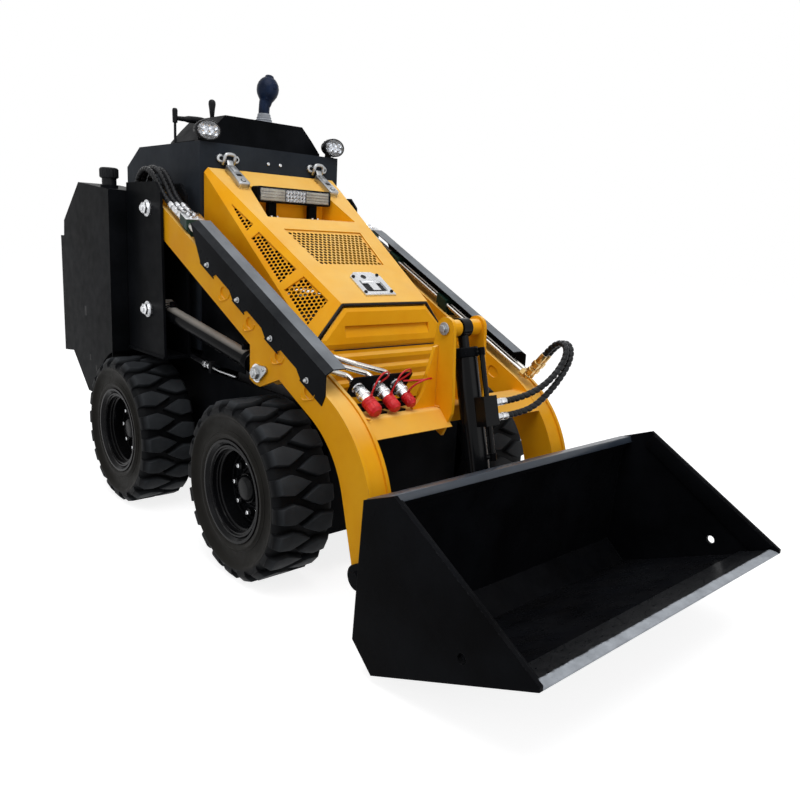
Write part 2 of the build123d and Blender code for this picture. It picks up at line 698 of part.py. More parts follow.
# on the other arm two tubes end in elbows that turn up to their hoses
far_elbow_station = -396.0
far_fitting_end = (-467.0, 746.0)
with BuildPart() as arm_tubes:
    for line in coupler_lines:
        bent_tube(line, tube_r, largest=26.0)
    for x in tube_xs[:2]:
        elbow = on_arm(x, far_elbow_station)
        fitting_end = (x, at(far_fitting_end[0]), far_fitting_end[1])
        bar(on_arm(x, tube_rear_station), elbow, tube_r)
        with Locations(elbow):
            Sphere(10.5)
        neck = Vector(*elbow) + (Vector(*fitting_end) - Vector(*elbow)) * 0.5
        bar(elbow, neck, 9)
        bar(neck, fitting_end, 11)
    # two-stage fittings at the tubes' rear ends
    for x in (-tube_xs[0], -tube_xs[1], -tube_xs[2], tube_xs[0], tube_xs[1]):
        bar(on_arm(x, tube_rear_station - 1), on_arm(x, tube_rear_station + 54), 11)
        bar(on_arm(x, tube_rear_station + 54), on_arm(x, fitting_end_station), 9.5)
save(arm_tubes, "arm_tubes")

clamp_stations = (540.0, 330.0, 40.0, -140.0)
with BuildPart() as tube_clamps:
    for side in (-1, 1):
        for station in clamp_stations:
            rise = tube_lift + tube_r + 12
            prism_x([(station - 25, arm_top_z(station - 25) - arm_lip / cos(slope_angle) + seat_gap),
                     (station - 25, arm_top_z(station - 25) + rise), (station + 25, arm_top_z(station + 25) + rise),
                     (station + 25, arm_top_z(station + 25) - arm_lip / cos(slope_angle) + seat_gap)],
                    side * (arm_inner_x + arm_skin + seat_gap), side * (arm_outer_x - arm_skin - seat_gap))
            prism_x([(station - 25, arm_top_z(station - 25) + 14), (station - 25, arm_top_z(station - 25) + rise),
                     (station + 25, arm_top_z(station + 25) + rise), (station + 25, arm_top_z(station + 25) + 14)],
                    side * (tube_xs[0] - 13), side * (arm_outer_x - 1))
    for side, count in ((-1, 3), (1, 2)):
        for number in range(count):
            x = side * tube_xs[number]
            bar(on_arm(x, clamp_stations[0] + 40), on_arm(x, clamp_stations[-1] - 40), tube_r, mode=Mode.SUBTRACT)
save(tube_clamps, "tube_clamps")

# ---------------------------------------------------------------- cylinders
piston_home = 24.0


def cylinder(foot, eye, centre_x, barrel_r, rod_r, foot_reach, eye_reach, foot_half, eye_half,
             foot_bore, eye_r, foot_r):
    """A barrel and rod along the line from foot to eye, as two parts."""
    along = Vector(0, eye[0] - foot[0], eye[1] - foot[1])
    length = along.length
    unit = along.normalized()
    base = Vector(centre_x, at(foot[0]), foot[1])
    bore_start = foot_reach + 12
    piston_start = bore_start + piston_home
    gland = length - eye_reach
    with BuildPart() as barrel:
        bar(base + unit * (foot_r * 0.6), base + unit * (foot_r + 6), foot_half - 2)
        bar(base + unit * (foot_r + 4), base + unit * gland, barrel_r)
        bar(base + unit * (gland - 26), base + unit * gland, barrel_r + 5)
        disc_x(foot, foot_r, centre_x - foot_half, centre_x + foot_half)
        disc_x(foot, foot_bore, centre_x - foot_half - 1, centre_x + foot_half + 1, mode=Mode.SUBTRACT)
        bar(base + unit * bore_start, base + unit * (gland - 20), barrel_r - 6, mode=Mode.SUBTRACT)
        bar(base + unit * (gland - 21), base + unit * (gland + 1), rod_r + pin_clearance,
            mode=Mode.SUBTRACT)
    with BuildPart() as rod:
        bar(base + unit * piston_start, base + unit * (piston_start + 30), barrel_r - 6 - pin_clearance)
        bar(base + unit * (piston_start + 30), base + unit * (length - eye_r * 0.6), rod_r)
        disc_x(eye, eye_r, centre_x - eye_half, centre_x + eye_half)
        disc_x(eye, pin_d / 2, centre_x - eye_half - 1, centre_x + eye_half + 1, mode=Mode.SUBTRACT)
    return barrel.part, rod.part


lift_x = (arm_inner_x + arm_outer_x) / 2
lift_pairs = [cylinder(lift_base, lug_pin, side * lift_x, 30, 19, 34, 96, 36, 22, pivot_pin_d / 2, 27, 36)
              for side in (-1, 1)]
with BuildPart() as lift_barrels:
    for barrel_part, rod_part in lift_pairs:
        add(barrel_part)
save(lift_barrels, "lift_barrels")
with BuildPart() as lift_rods:
    for barrel_part, rod_part in lift_pairs:
        add(rod_part)
save(lift_rods, "lift_rods")

tilt_barrel_r = 37.0
tilt_barrel_part, tilt_rod_part = cylinder(tilt_foot, clevis_pin, 0.0, tilt_barrel_r, 17, 32, 64, 30, 19,
                                           pin_d / 2, 30, 32)
tilt_line = Vector(0, clevis_pin[0] - tilt_foot[0], clevis_pin[1] - tilt_foot[1])
tilt_unit = tilt_line.normalized()
tilt_base = Vector(0, at(tilt_foot[0]), tilt_foot[1])
tilt_forward = Vector(0, -tilt_unit.Z, tilt_unit.Y)
block_foot = 216.0
block_x = 12.0
block_size = (60.0, 40.0, 92.0)
block_fittings = (284.0, 238.0)
port_forward = tilt_barrel_r + 15


def block_fitting_end(along):
    """The free end of a hose fitting on the valve block's side."""
    side_face = Vector(block_x + block_size[0] / 2 - 1, 0, 0)
    return tilt_base + tilt_unit * along + tilt_forward * port_forward + side_face + Vector(63, 0, 0)


with BuildPart() as tilt_barrel:
    add(tilt_barrel_part)
    # port tube and valve block on the barrel's left-hand side
    with BuildSketch(Plane(origin=tilt_base + tilt_unit * block_foot, x_dir=(1, 0, 0), z_dir=tilt_unit)):
        with Locations((block_x, -(tilt_barrel_r - 3 + block_size[1] / 2))):
            Rectangle(block_size[0], block_size[1])
    extrude(amount=block_size[2])
    port_side = Vector(block_x + 8, 0, 0) + tilt_forward * port_forward
    port_root = port_side * 0.66
    for port, run_start in ((448, block_foot + block_size[2] - 2), (118, block_foot + 2)):
        bar(tilt_base + tilt_unit * port + port_side, tilt_base + tilt_unit * run_start + port_side, 8)
        bar(tilt_base + tilt_unit * port + port_root, tilt_base + tilt_unit * port + port_side, 8)
    # hose fittings that leave the block's side
    for along in block_fittings:
        end = block_fitting_end(along)
        bar(end - Vector(63, 0, 0), end - Vector(39, 0, 0), 12)
        bar(end - Vector(40, 0, 0), end, 9.5)
save(tilt_barrel, "tilt_barrel")
with BuildPart() as tilt_rod:
    add(tilt_rod_part)
save(tilt_rod, "tilt_rod")

# ---------------------------------------------------------------- hoses
hose_r = 10.0
# (x shift, station, z) from the arm's fittings over the pivot and down into the tower
boom_route = [(-2, 756, 1260), (-4, 812, 1311), (-3, 877, 1328), (1, 938, 1301), (0, hose_foot[0], 1243)]
with BuildPart() as boom_hoses:
    for number, x in enumerate((-tube_xs[0], -tube_xs[1], -tube_xs[2], tube_xs[0], tube_xs[1])):
        rise = (0, 4, -3, 2, -4)[number]
        shift = (1.0, 0.2, -0.8, 1.0, -0.8)[number] * (1 if x < 0 else -1)
        route = [on_arm(x, fitting_end_station), on_arm(x, fitting_end_station + 40)]
        route += [(x - dx * shift, at(st), z + rise) for dx, st, z in boom_route]
        route.append((x, at(hose_foot[0]), hose_foot[1]))
        radii = bent_tube(route, hose_r)
        print("boom hose", number, "radii", [round(r) for r in radii])
save(boom_hoses, "boom_hoses")

# from the elbows on the left arm, forward and round to the valve block on the tilt cylinder
tilt_route_upper = [(383, -532, 797), (365, -568, 788), (341, -586, 757), (309, -586, 718),
                    (267, -580, 680), (212, -566, 648)]
tilt_route_lower = [(407, -533, 795), (390, -569, 783), (366, -588, 749), (335, -589, 707),
                    (297, -585, 666), (252, -579, 628), (204, -570, 598)]
with BuildPart() as tilt_hoses:
    for number, route in enumerate((tilt_route_upper, tilt_route_lower)):
        x = tube_xs[number]
        start = Vector(x, at(far_fitting_end[0]), far_fitting_end[1])
        lead = start + (start - Vector(*on_arm(x, far_elbow_station))).normalized() * 44
        end = block_fitting_end(block_fittings[number])
        points = [(start.X, start.Y, start.Z), (lead.X, lead.Y, lead.Z)]
        points += [(px, at(st), z) for px, st, z in route]
        points += [(end.X + 46, end.Y, end.Z), (end.X, end.Y, end.Z)]
        radii = bent_tube(points, hose_r)
        print("tilt hose", number, "radii", [round(r) for r in radii])
save(tilt_hoses, "tilt_hoses")

# ---------------------------------------------------------------- bucket
bucket_top_back = (-685.0, 478.0)
bucket_top_front = (-795.0, 520.0)
bucket_lip = (-1254.0, 242.0)
bucket_heel = (-742.0, 24.0)
bucket_back_low = (-663.0, 91.0)

floor_dir = (Vector(*bucket_lip) - Vector(*bucket_heel)).normalized()
floor_normal = Vector(-floor_dir.Y, floor_dir.X) * -1
floor_end = Vector(*bucket_lip) - floor_dir * edge_depth


with BuildPart() as bucket:
    shell_path = [bucket_top_back, bucket_back_low, bucket_heel, (floor_end.X, floor_end.Y)]
    prism_x(thick_path(shell_path, -bucket_plate), -bucket_half_width + cheek_plate,
            bucket_half_width - cheek_plate)
    # stiffening rail along the top of the back
    prism_x([(bucket_top_back[0], bucket_top_back[1]), (bucket_top_back[0] - 20, bucket_top_back[1]),
             (bucket_top_back[0] - 19, bucket_top_back[1] - 34), (bucket_top_back[0] + 1, bucket_top_back[1] - 34)],
            -bucket_half_width + cheek_plate, bucket_half_width - cheek_plate)
    for side in (-1, 1):
        x0 = side * (bucket_half_width - cheek_plate)
        x1 = side * bucket_half_width
        prism_x([bucket_top_back, bucket_top_front, (bucket_lip[0], bucket_lip[1] + 12), bucket_lip,
                 bucket_heel, bucket_back_low], x0, x1)
        disc_x((-1043.0, 216.0), 13, x0 - side, x1 + side, mode=Mode.SUBTRACT)
save(bucket, "bucket")

edge_tip = Vector(*bucket_lip)
edge_back = floor_end
edge_points = [edge_tip, edge_back, edge_back + floor_normal * edge_plate,
               edge_tip + floor_normal * edge_plate - floor_dir * 22, edge_tip + floor_normal * 3]
with BuildPart() as cutting_edge:
    prism_x([(p.X, p.Y) for p in edge_points], -bucket_half_width + cheek_plate,
            bucket_half_width - cheek_plate)
save(cutting_edge, "cutting_edge")

# ---------------------------------------------------------------- attachment plate
attach_half_width = 480.0
attach_plate_thick = 12.0
back_dir = (Vector(*bucket_back_low) - Vector(*bucket_top_back)).normalized()


def back_station(z, offset=0.0):
    """Station of the bucket's rear face at a height, plus an offset rearward."""
    share = (bucket_top_back[1] - z) / (bucket_top_back[1] - bucket_back_low[1])
    return bucket_top_back[0] + share * (bucket_back_low[0] - bucket_top_back[0]) + offset


attach_bottom_z = 110.0
attach_top_z = 440.0
with BuildPart() as attach_plate:
    prism_x([(back_station(attach_bottom_z), attach_bottom_z), (back_station(attach_top_z), attach_top_z),
             (back_station(attach_top_z, attach_plate_thick), attach_top_z),
             (back_station(attach_bottom_z, attach_plate_thick), attach_bottom_z)],
            -attach_half_width, attach_half_width)
    ear_root_low = (back_station(attach_bottom_z, 2), attach_bottom_z)
    ear_root_high = (back_station(300, 2), 300.0)
    for side in (-1, 1):
        for x0 in (arm_inner_x - side_gap - 14, arm_outer_x + side_gap):
            prism_x([ear_root_low, (arm_tip[0] - 4, arm_tip[1] - arm_tip_r), (arm_tip[0] + 20, arm_tip[1] + 32),
                     ear_root_high], side * x0, side * (x0 + 14))
            disc_x(arm_tip, arm_tip_r, side * x0, side * (x0 + 14))
        disc_x(arm_tip, pin_d / 2 - pin_clearance, side * (arm_inner_x - side_gap - 22),
               side * (arm_outer_x + side_gap + 22))
        prism_x([(back_station(250, 2), 250.0), (tilt_foot[0] - 10, tilt_foot[1] - 28),
                 (tilt_foot[0] - 4, tilt_foot[1] + 30), (back_station(420, 2), 420.0)], side * 36, side * 50)
        disc_x(tilt_foot, 30, side * 36, side * 50)
    disc_x(tilt_foot, pin_d / 2 - pin_clearance, -56, 56)
save(attach_plate, "attach_plate")

# ---------------------------------------------------------------- hood
nose_drop = hood_front_z - hood_shoulder_front_z
# the shoulder facet is one plane through the nose's crease and the flank's crease
flank_rise = (hood_shoulder_rear_z - hood_shoulder_front_z)
crown_rise = hood_rear_z - hood_front_z
nose_inset = hood_half_width - hood_nose_half_width
tail_inset = nose_inset * (crown_rise - flank_rise + nose_drop) / nose_drop


def hood_section(share, inset):
    """The hood's six-sided section at a share of its length, inset by the skin."""
    crown = hood_front_z + share * crown_rise
    flank = hood_shoulder_front_z + share * flank_rise
    top_half = hood_half_width - nose_inset - share * (tail_inset - nose_inset)
    slant = atan2(nose_drop, nose_inset)
    pull = inset * tan(slant / 2)
    low_pull = inset * tan((pi / 2 - slant) / 2)
    return [(-hood_half_width + inset, hood_bottom_z - inset), (hood_half_width - inset, hood_bottom_z - inset),
            (hood_half_width - inset, flank - low_pull), (top_half - pull, crown - inset),
            (-top_half + pull, crown - inset), (-hood_half_width + inset, flank - low_pull)]


def hood_loft(station0, station1, inset, mode=Mode.ADD):
    """A straight loft of the hood's section between two stations."""
    length = hood_rear_station - hood_front_station
    profiles = []
    for station in (station0, station1):
        share = (station - hood_front_station) / length
        plane = Plane(origin=(0, at(station), 0), x_dir=(1, 0, 0), z_dir=(0, -1, 0))
        with BuildSketch(plane) as profile:
            with BuildLine():
                Polyline(*hood_section(share, inset), close=True)
            make_face()
        profiles.append(profile.sketch)
    loft(profiles, ruled=True, mode=mode)


hood_slope = atan2(crown_rise, hood_rear_station - hood_front_station)
crown_origin = Vector(0, at(hood_front_station), hood_front_z)
crown_plane = Plane(origin=crown_origin, x_dir=(1, 0, 0), z_dir=(0, -sin(hood_slope), cos(hood_slope)))
# (across from, across to, from, to) up the crown's slope, as half-widths at both ends
grille_window = dict(low=190.0 / cos(hood_slope), high=375.0 / cos(hood_slope), low_half=146.0, high_half=176.0)
recess_front_station = 374.0
recess_rear_station = 555.0
recess_front_half = 203.0
recess_rear_half = 172.0
recess_floor_z = 1160.0
recess_skin = 4.0

# the shoulder facet's own plane: along the flank's crease, and across towards the crown
flank_crease_slope = atan2(flank_rise, hood_rear_station - hood_front_station)
side_windows = [
    [(698, 22), (561, 48), (550, 15)],
    [(518, 50), (291, 89), (278, 15), (510, 15)],
    [(250, 96), (113, 119), (74, 20), (244, 16)],
]


def facet_plane(side, inset=0.0):
    """The plane of one shoulder facet, moved inward by an inset."""
    along = Vector(0, cos(flank_crease_slope), sin(flank_crease_slope))
    to_crown = Vector(-side * nose_inset, 0, nose_drop)
    outward = along.cross(to_crown).normalized() * side
    corner = Vector(side * hood_half_width, at(hood_front_station), hood_shoulder_front_z)
    return Plane(origin=corner - outward * inset, x_dir=along, z_dir=outward)


def facet_outline(side, points, grow=0.0):
    """Window points on a facet, with the across direction turned to the crown on either side."""
    centre_a = sum(p[0] for p in points) / len(points)
    centre_b = sum(p[1] for p in points) / len(points)
    grown = []
    for a, b in points:
        reach = hypot(a - centre_a, b - centre_b)
        grown.append((centre_a + (a - centre_a) * (1 + grow / reach),
                      side * (centre_b + (b - centre_b) * (1 + grow / reach))))
    return grown


def recess_plan(grow=0.0):
    """The light bar's recess in plan, grown on all sides."""
    return [(-recess_front_half - grow, at(recess_front_station) - grow),
            (recess_front_half + grow, at(recess_front_station) - grow),
            (recess_rear_half + grow, at(recess_rear_station) + grow),
            (-recess_rear_half - grow, at(recess_rear_station) + grow)]


with BuildPart() as recess_tray:
    hood_loft(hood_front_station, hood_rear_station, 0)
    with BuildSketch(Plane.XY.offset(recess_floor_z - recess_skin)) as tray_plan:
        with BuildLine():
            Polyline(*recess_plan(recess_skin), close=True)
        make_face()
    extrude(tray_plan.sketch, amount=300, mode=Mode.INTERSECT)

with BuildPart() as hood:
    hood_loft(hood_front_station, hood_rear_station, 0)
    hood_loft(hood_front_station - 10, hood_rear_station + 10, hood_skin, mode=Mode.SUBTRACT)
    with BuildSketch(crown_plane) as opening:
        with BuildLine():
            Polyline((-grille_window["low_half"], grille_window["low"]),
                     (grille_window["low_half"], grille_window["low"]),
                     (grille_window["high_half"], grille_window["high"]),
                     (-grille_window["high_half"], grille_window["high"]), close=True)
        make_face()
    extrude(opening.sketch, amount=-hood_skin * 3, mode=Mode.SUBTRACT)
    for side in (-1, 1):
        for points in side_windows:
            with BuildSketch(facet_plane(side)) as opening:
                with BuildLine():
                    Polyline(*facet_outline(side, points), close=True)
                make_face()
            extrude(opening.sketch, amount=-hood_skin * 2, mode=Mode.SUBTRACT)
    # the light bar's recess: a level shelf with upright walls
    add(recess_tray.part)
    with BuildSketch(Plane.XY.offset(recess_floor_z)) as hollow:
        with BuildLine():
            Polyline(*recess_plan(), close=True)
        make_face()
    extrude(hollow.sketch, amount=300, mode=Mode.SUBTRACT)
    # hinge eyes inside the flanks' front corners
    for side in (-1, 1):
        eye_outer_x = hood_half_width - hood_skin / 2
        disc_x(hood_hinge, hood_hinge_eye_r, side * hood_hinge_x, side * (hood_hinge_x + 12))
        block(side * hood_hinge_x, side * eye_outer_x, at(hood_front_station), at(hood_hinge[0] + 22),
              hood_bottom_z, hood_bottom_z + 26)
        disc_x(hood_hinge, hood_hinge_pin_r, side * (hood_hinge_x - 1), side * (hood_hinge_x + 13),
               mode=Mode.SUBTRACT)
save(hood, "hood")

with BuildPart() as hood_grille:
    with BuildSketch(crown_plane.offset(-hood_skin * cos(hood_slope) - seat_gap)) as panel:
        with BuildLine():
            Polyline((-grille_window["low_half"] - 8, grille_window["low"] - 8),
                     (grille_window["low_half"] + 8, grille_window["low"] - 8),
                     (grille_window["high_half"] + 8, grille_window["high"] + 8),
                     (-grille_window["high_half"] - 8, grille_window["high"] + 8), close=True)
        make_face()
    extrude(panel.sketch, amount=-2)
    for side in (-1, 1):
        for points in side_windows:
            with BuildSketch(facet_plane(side, hood_skin + seat_gap)) as panel:
                with BuildLine():
                    Polyline(*facet_outline(side, points, 9), close=True)
                make_face()
            extrude(panel.sketch, amount=-2)
save(hood_grille, "hood_grille")

light_bar_half = 170.0
light_bar_front_station = 498.0
light_bar_depth = 45.0
light_bar_low_z = 1218.0
light_bar_height = 58.0
light_bracket_x = 95.0
with BuildPart() as light_bar:
    block(-light_bar_half, light_bar_half, at(light_bar_front_station), at(light_bar_front_station) + light_bar_depth,
          light_bar_low_z, light_bar_low_z + light_bar_height)
    fillet(light_bar.edges().filter_by(Axis.Y), 12)
    for x in (-light_bracket_x, light_bracket_x):
        block(x - 17, x + 17, at(light_bar_front_station) + 12, at(light_bar_front_station) + 34,
              recess_floor_z + seat_gap, light_bar_low_z + 4)
        block(x - 22, x + 22, at(light_bar_front_station) - 8, at(light_bar_front_station) + 38,
              recess_floor_z + seat_gap, recess_floor_z + seat_gap + 5)
save(light_bar, "light_bar")

lock_up = 101.0
lock_half = 69.0
lock_half_length = 66.0
latch_x = 208.0
crown_length = hypot(hood_rear_station - hood_front_station, crown_rise)
with BuildPart() as hood_fittings:
    # flush lock: a plate with a sunk paddle
    with BuildSketch(crown_plane.offset(seat_gap)):
        with BuildLine():
            Polyline((-lock_half, lock_up - lock_half_length), (lock_half, lock_up - lock_half_length),
                     (lock_half, lock_up + lock_half_length - 24), (lock_half - 30, lock_up + lock_half_length),
                     (-lock_half + 30, lock_up + lock_half_length), (-lock_half, lock_up + lock_half_length - 24),
                     close=True)
        make_face()
    extrude(amount=6)
    with BuildSketch(crown_plane.offset(seat_gap + 2)):
        with Locations((0, lock_up - 14)):
            RectangleRounded(94, 66, 8)
    extrude(amount=6, mode=Mode.SUBTRACT)
    with BuildSketch(crown_plane.offset(seat_gap)):
        with Locations((0, lock_up + 10)):
            RectangleRounded(86, 14, 4)
        with Locations((0, lock_up - 18)):
            Rectangle(34, 44)
    extrude(amount=7)
    # latches: a base on the crown and a tapered lever over it
    for x in (-latch_x, latch_x):
        with BuildSketch(crown_plane.offset(seat_gap)):
            with Locations((x, crown_length - 92)):
                RectangleRounded(40, 100, 6)
        extrude(amount=6)
        with BuildSketch(crown_plane.offset(seat_gap + 5)):
            with BuildLine():
                Polyline((x - 20, crown_length - 142), (x + 20, crown_length - 142), (x + 15, crown_length - 10),
                         (x - 15, crown_length - 10), close=True)
            make_face()
        extrude(amount=13)
save(hood_fittings, "hood_fittings")

# ---------------------------------------------------------------- front cover
cover_gap = 11.0
cover_lean = 0.15
cover_panel = 8.0
cover_border = 13.0
cover_split_z = 745.0
cover_split_gap = 6.0
cover_foot_z = frame_top_z + seat_gap
cover_step_z = 690.0
louvre_half = 191.0
louvre_low_z = 783.0
louvre_high_z = 820.0
louvre_depth = 14.0
pleat_zs = (738.0, 695.0, 652.0, 609.0)
pleat_depth = 9.0


def cover_station(z, out=0.0):
    """Station of the leaning front face at a height, moved outward."""
    return hood_front_station - cover_lean * (hood_front_z - z) - out


with BuildPart() as front_cover:
    top_z = hood_front_z - hood_skin - cover_gap
    cheek_z = hood_shoulder_front_z - 4
    front_plane = Plane(origin=(0, at(hood_front_station), hood_front_z), x_dir=(1, 0, 0),
                        z_dir=(0, -cos(atan2(cover_lean, 1)), sin(atan2(cover_lean, 1))))
    lean_scale = sqrt(1 + cover_lean ** 2)
    half = hood_hinge_x - side_gap

    def down(z):
        """Distance down the leaning face for a height."""
        return (z - hood_front_z) * lean_scale

    def upper_outline(inset):
        """The upper panel: straight top, slanted shoulders, set in all round."""
        top_half = hood_nose_half_width - cover_gap - inset * 0.45
        return [(-half + inset, down(cover_split_z + cover_split_gap / 2 + inset)),
                (half - inset, down(cover_split_z + cover_split_gap / 2 + inset)),
                (half - inset, down(cheek_z + 14)), (top_half, down(top_z - inset)),
                (-top_half, down(top_z - inset)), (-half + inset, down(cheek_z + 14))]

    with BuildSketch(front_plane.offset(-cover_panel)) as back_face:
        with BuildLine():
            Polyline(*upper_outline(0), close=True)
        make_face()
    extrude(back_face.sketch, amount=cover_panel)
    # raised middle with a bevelled border
    raised = []
    for inset, out in ((0.0, -0.5), (cover_border, cover_border * 0.5)):
        with BuildSketch(front_plane.offset(out)) as ring:
            with BuildLine():
                Polyline(*upper_outline(inset), close=True)
            make_face()
        raised.append(ring.sketch)
    loft(raised, ruled=True)
    # louvre: deep along its top edge and running out to the face at the bottom
    face_out = cover_border * 0.5
    prism_x([(cover_station(louvre_high_z, face_out + 2), louvre_high_z),
             (cover_station(louvre_high_z, face_out - louvre_depth), louvre_high_z),
             (cover_station(louvre_low_z, face_out), louvre_low_z),
             (cover_station(louvre_low_z, face_out + 2), louvre_low_z)], -louvre_half, louvre_half,
            mode=Mode.SUBTRACT)
    # lower panel with level pleats
    lower = [(cover_station(cover_split_z - cover_split_gap / 2, -cover_panel), cover_split_z - cover_split_gap / 2)]
    lower.append((cover_station(cover_split_z - cover_split_gap / 2), cover_split_z - cover_split_gap / 2))
    for crest, valley in zip(pleat_zs[:-1], pleat_zs[1:]):
        lower.append((cover_station(crest - 8), crest - 8))
        lower.append((cover_station(crest - 18, pleat_depth), crest - 18))
        lower.append((cover_station(valley + 12, pleat_depth), valley + 12))
    lower.append((cover_station(pleat_zs[-1]), pleat_zs[-1]))
    lower.append((cover_station(cover_step_z - 92), cover_step_z - 92))
    lower.append((cover_station(cover_step_z - 92, -cover_panel), cover_step_z - 92))
    prism_x(lower, -half, half)
    prism_x([(cover_station(cover_step_z), cover_step_z), (cover_station(cover_foot_z), cover_foot_z),
             (cover_station(cover_foot_z, -cover_panel), cover_foot_z),
             (cover_station(cover_step_z, -cover_panel), cover_step_z)], -frame_half_width, frame_half_width)
    # the two panels are joined by a backing strip
    prism_x([(cover_station(cover_split_z + 16, -cover_panel + 3), cover_split_z + 16),
             (cover_station(cover_split_z - 16, -cover_panel + 3), cover_split_z - 16),
             (cover_station(cover_split_z - 16, -cover_panel), cover_split_z - 16),
             (cover_station(cover_split_z + 16, -cover_panel), cover_split_z + 16)], -half + 2, half - 2)
save(front_cover, "front_cover")

# ---------------------------------------------------------------- control tower
with BuildPart() as dash_box:
    waist_z = deck_z + plate + 18
    outline = [(dash_front_station, waist_z), (dash_front_station, dash_top_z),
               (dash_rear_station, dash_top_z), (dash_slope_station, dash_slope_z),
               (dash_slope_station, 900), (frame_rear_station, 860), (frame_rear_station, waist_z)]
    prism_x(outline, -dash_half_width, dash_half_width)
    skin = dash_skin
    prism_x([(dash_front_station + skin, waist_z - 1), (dash_front_station + skin, dash_top_z - skin),
             (dash_rear_station - 1, dash_top_z - skin), (dash_slope_station - skin, dash_slope_z - 4),
             (dash_slope_station - skin, 903), (frame_rear_station - skin, 863),
             (frame_rear_station - skin, waist_z - 1)], -dash_half_width + skin, dash_half_width - skin,
            mode=Mode.SUBTRACT)
    # the narrow foot that stands on the frame
    foot_half = frame_half_width - 64
    block(-foot_half, foot_half, at(dash_front_station), at(dash_front_station) + skin, frame_top_z, waist_z + 20)
    block(-foot_half, foot_half, at(frame_rear_station) - skin, at(frame_rear_station), frame_top_z, waist_z + 20)
    for side in (-1, 1):
        block(side * (foot_half - skin), side * foot_half, at(dash_front_station), at(frame_rear_station),
              frame_top_z, waist_z + skin)
        block(side * foot_half, side * (dash_half_width - skin / 2), at(dash_front_station),
              at(frame_rear_station), waist_z, waist_z + skin)
    # keepers that the hood's latches hook into
    for side in (-1, 1):
        keeper_front = at(dash_front_station) - 14
        block(side * latch_x - 42, side * latch_x + 42, keeper_front + 8, at(dash_front_station) + 1, 1362, 1384)
        block(side * latch_x - 22, side * latch_x + 22, keeper_front, at(dash_front_station) + 1, 1352, 1390)
save(dash_box, "dash_box")

console_rear_station = 1000.0
console_top_z = 1540.0
with BuildPart() as console:
    with BuildSketch(Plane(origin=(0, at(721), 0), x_dir=(1, 0, 0), z_dir=(0, -1, 0))):
        with BuildLine():
            Polyline((-271, dash_top_z), (271, dash_top_z), (271, dash_top_z + 14), (228, 1490), (179, console_top_z),
                     (-179, console_top_z), (-228, 1490), (-271, dash_top_z + 14), close=True)
        make_face()
    extrude(amount=-(console_rear_station - 721))
save(console, "console")

with BuildPart() as joystick:
    with BuildSketch(Plane.XY.offset(console_top_z)):
        with Locations((24, at(770))):
            Circle(38)
    extrude(amount=16, taper=24)
    bar((24, at(770), 1550), (34, at(766), 1680), 13)
    with Locations((36, at(764), 1700)):
        Sphere(24)
    bar((34, at(766), 1655), (36, at(764), 1700), 19)
save(joystick, "joystick")

with BuildPart() as levers:
    bar((-139, at(900), console_top_z), (-139, at(900), 1590), 6)
    with Locations((-139, at(900), 1600)):
        Sphere(17)
    bar((-300, at(900), 1427), (-300, at(900), 1560), 6)
    bar((-300, at(900), 1548), (-139, at(900), 1556), 6)
save(levers, "levers")

lamp_points = ((-300.0, 650.0, 1462.0), (300.0, 650.0, 1462.0))
with BuildPart() as work_lamps:
    for x, station, z in lamp_points:
        with BuildSketch(Plane(origin=(x, at(station) + 8, z), x_dir=(1, 0, 0), z_dir=(0, -1, 0))) as lamp:
            Ellipse(46, 33)
        extrude(lamp.sketch, amount=52)
        block(x - 14, x + 14, at(dash_front_station), at(dash_front_station) + 24, dash_top_z, z)
        block(x - 14, x + 14, at(station) - 10, at(dash_front_station) + 10, z - 10, z + 10)
save(work_lamps, "work_lamps")

with BuildPart() as engine:
    block(-engine_half_width, engine_half_width, at(engine_front_station), at(engine_rear_station),
          engine_bottom_z, engine_top_z)
save(engine, "engine")

# ---------------------------------------------------------------- side tanks
tank_clear_r = tyre_r + 24
tank_low_z = 386.0
tank_rear_station = 1559.0
wheel_meet_station = rear_axle_station + sqrt(tank_clear_r ** 2 - (tank_low_z - axle_z) ** 2)
tank_front_low_z = axle_z + sqrt(tank_clear_r ** 2 - (tank_front_station - rear_axle_station) ** 2)
with BuildPart() as side_tanks:
    for side in (-1, 1):
        # foot that stands against the frame's side
        block(side * (frame_half_width + seat_gap), side * (tank_inner_x + 1), at(1212), at(1282), 410, 530)
        prism_x([(tank_front_station, tank_low_z), (tank_front_station, 1240), (1326, 1271), (1513, 1111),
                 (1520, 1046), (tank_rear_station, 1045), (tank_rear_station, 529), (1453, 540),
                 (1286, tank_low_z)], side * tank_inner_x, side * tank_outer_x)
    for side in (-1, 1):
        disc_x((rear_axle_station, axle_z), tank_clear_r, side * (tank_inner_x - 1), side * (tank_outer_x + 1),
               mode=Mode.SUBTRACT)
        with BuildSketch(Plane.XY.offset(1200)):
            with Locations((side * 492, at(1090))):
                Circle(34)
        extrude(amount=filler_seat_z - 1200)
save(side_tanks, "side_tanks")

with BuildPart() as filler_caps:
    for side in (-1, 1):
        with BuildSketch(Plane.XY.offset(filler_seat_z)):
            with Locations((side * 492, at(1090))):
                Circle(28)
        extrude(amount=28)
        with BuildSketch(Plane.XY.offset(filler_seat_z + 28)):
            with Locations((side * 492, at(1090))):
                Circle(34)
        extrude(amount=40)
save(filler_caps, "filler_caps")

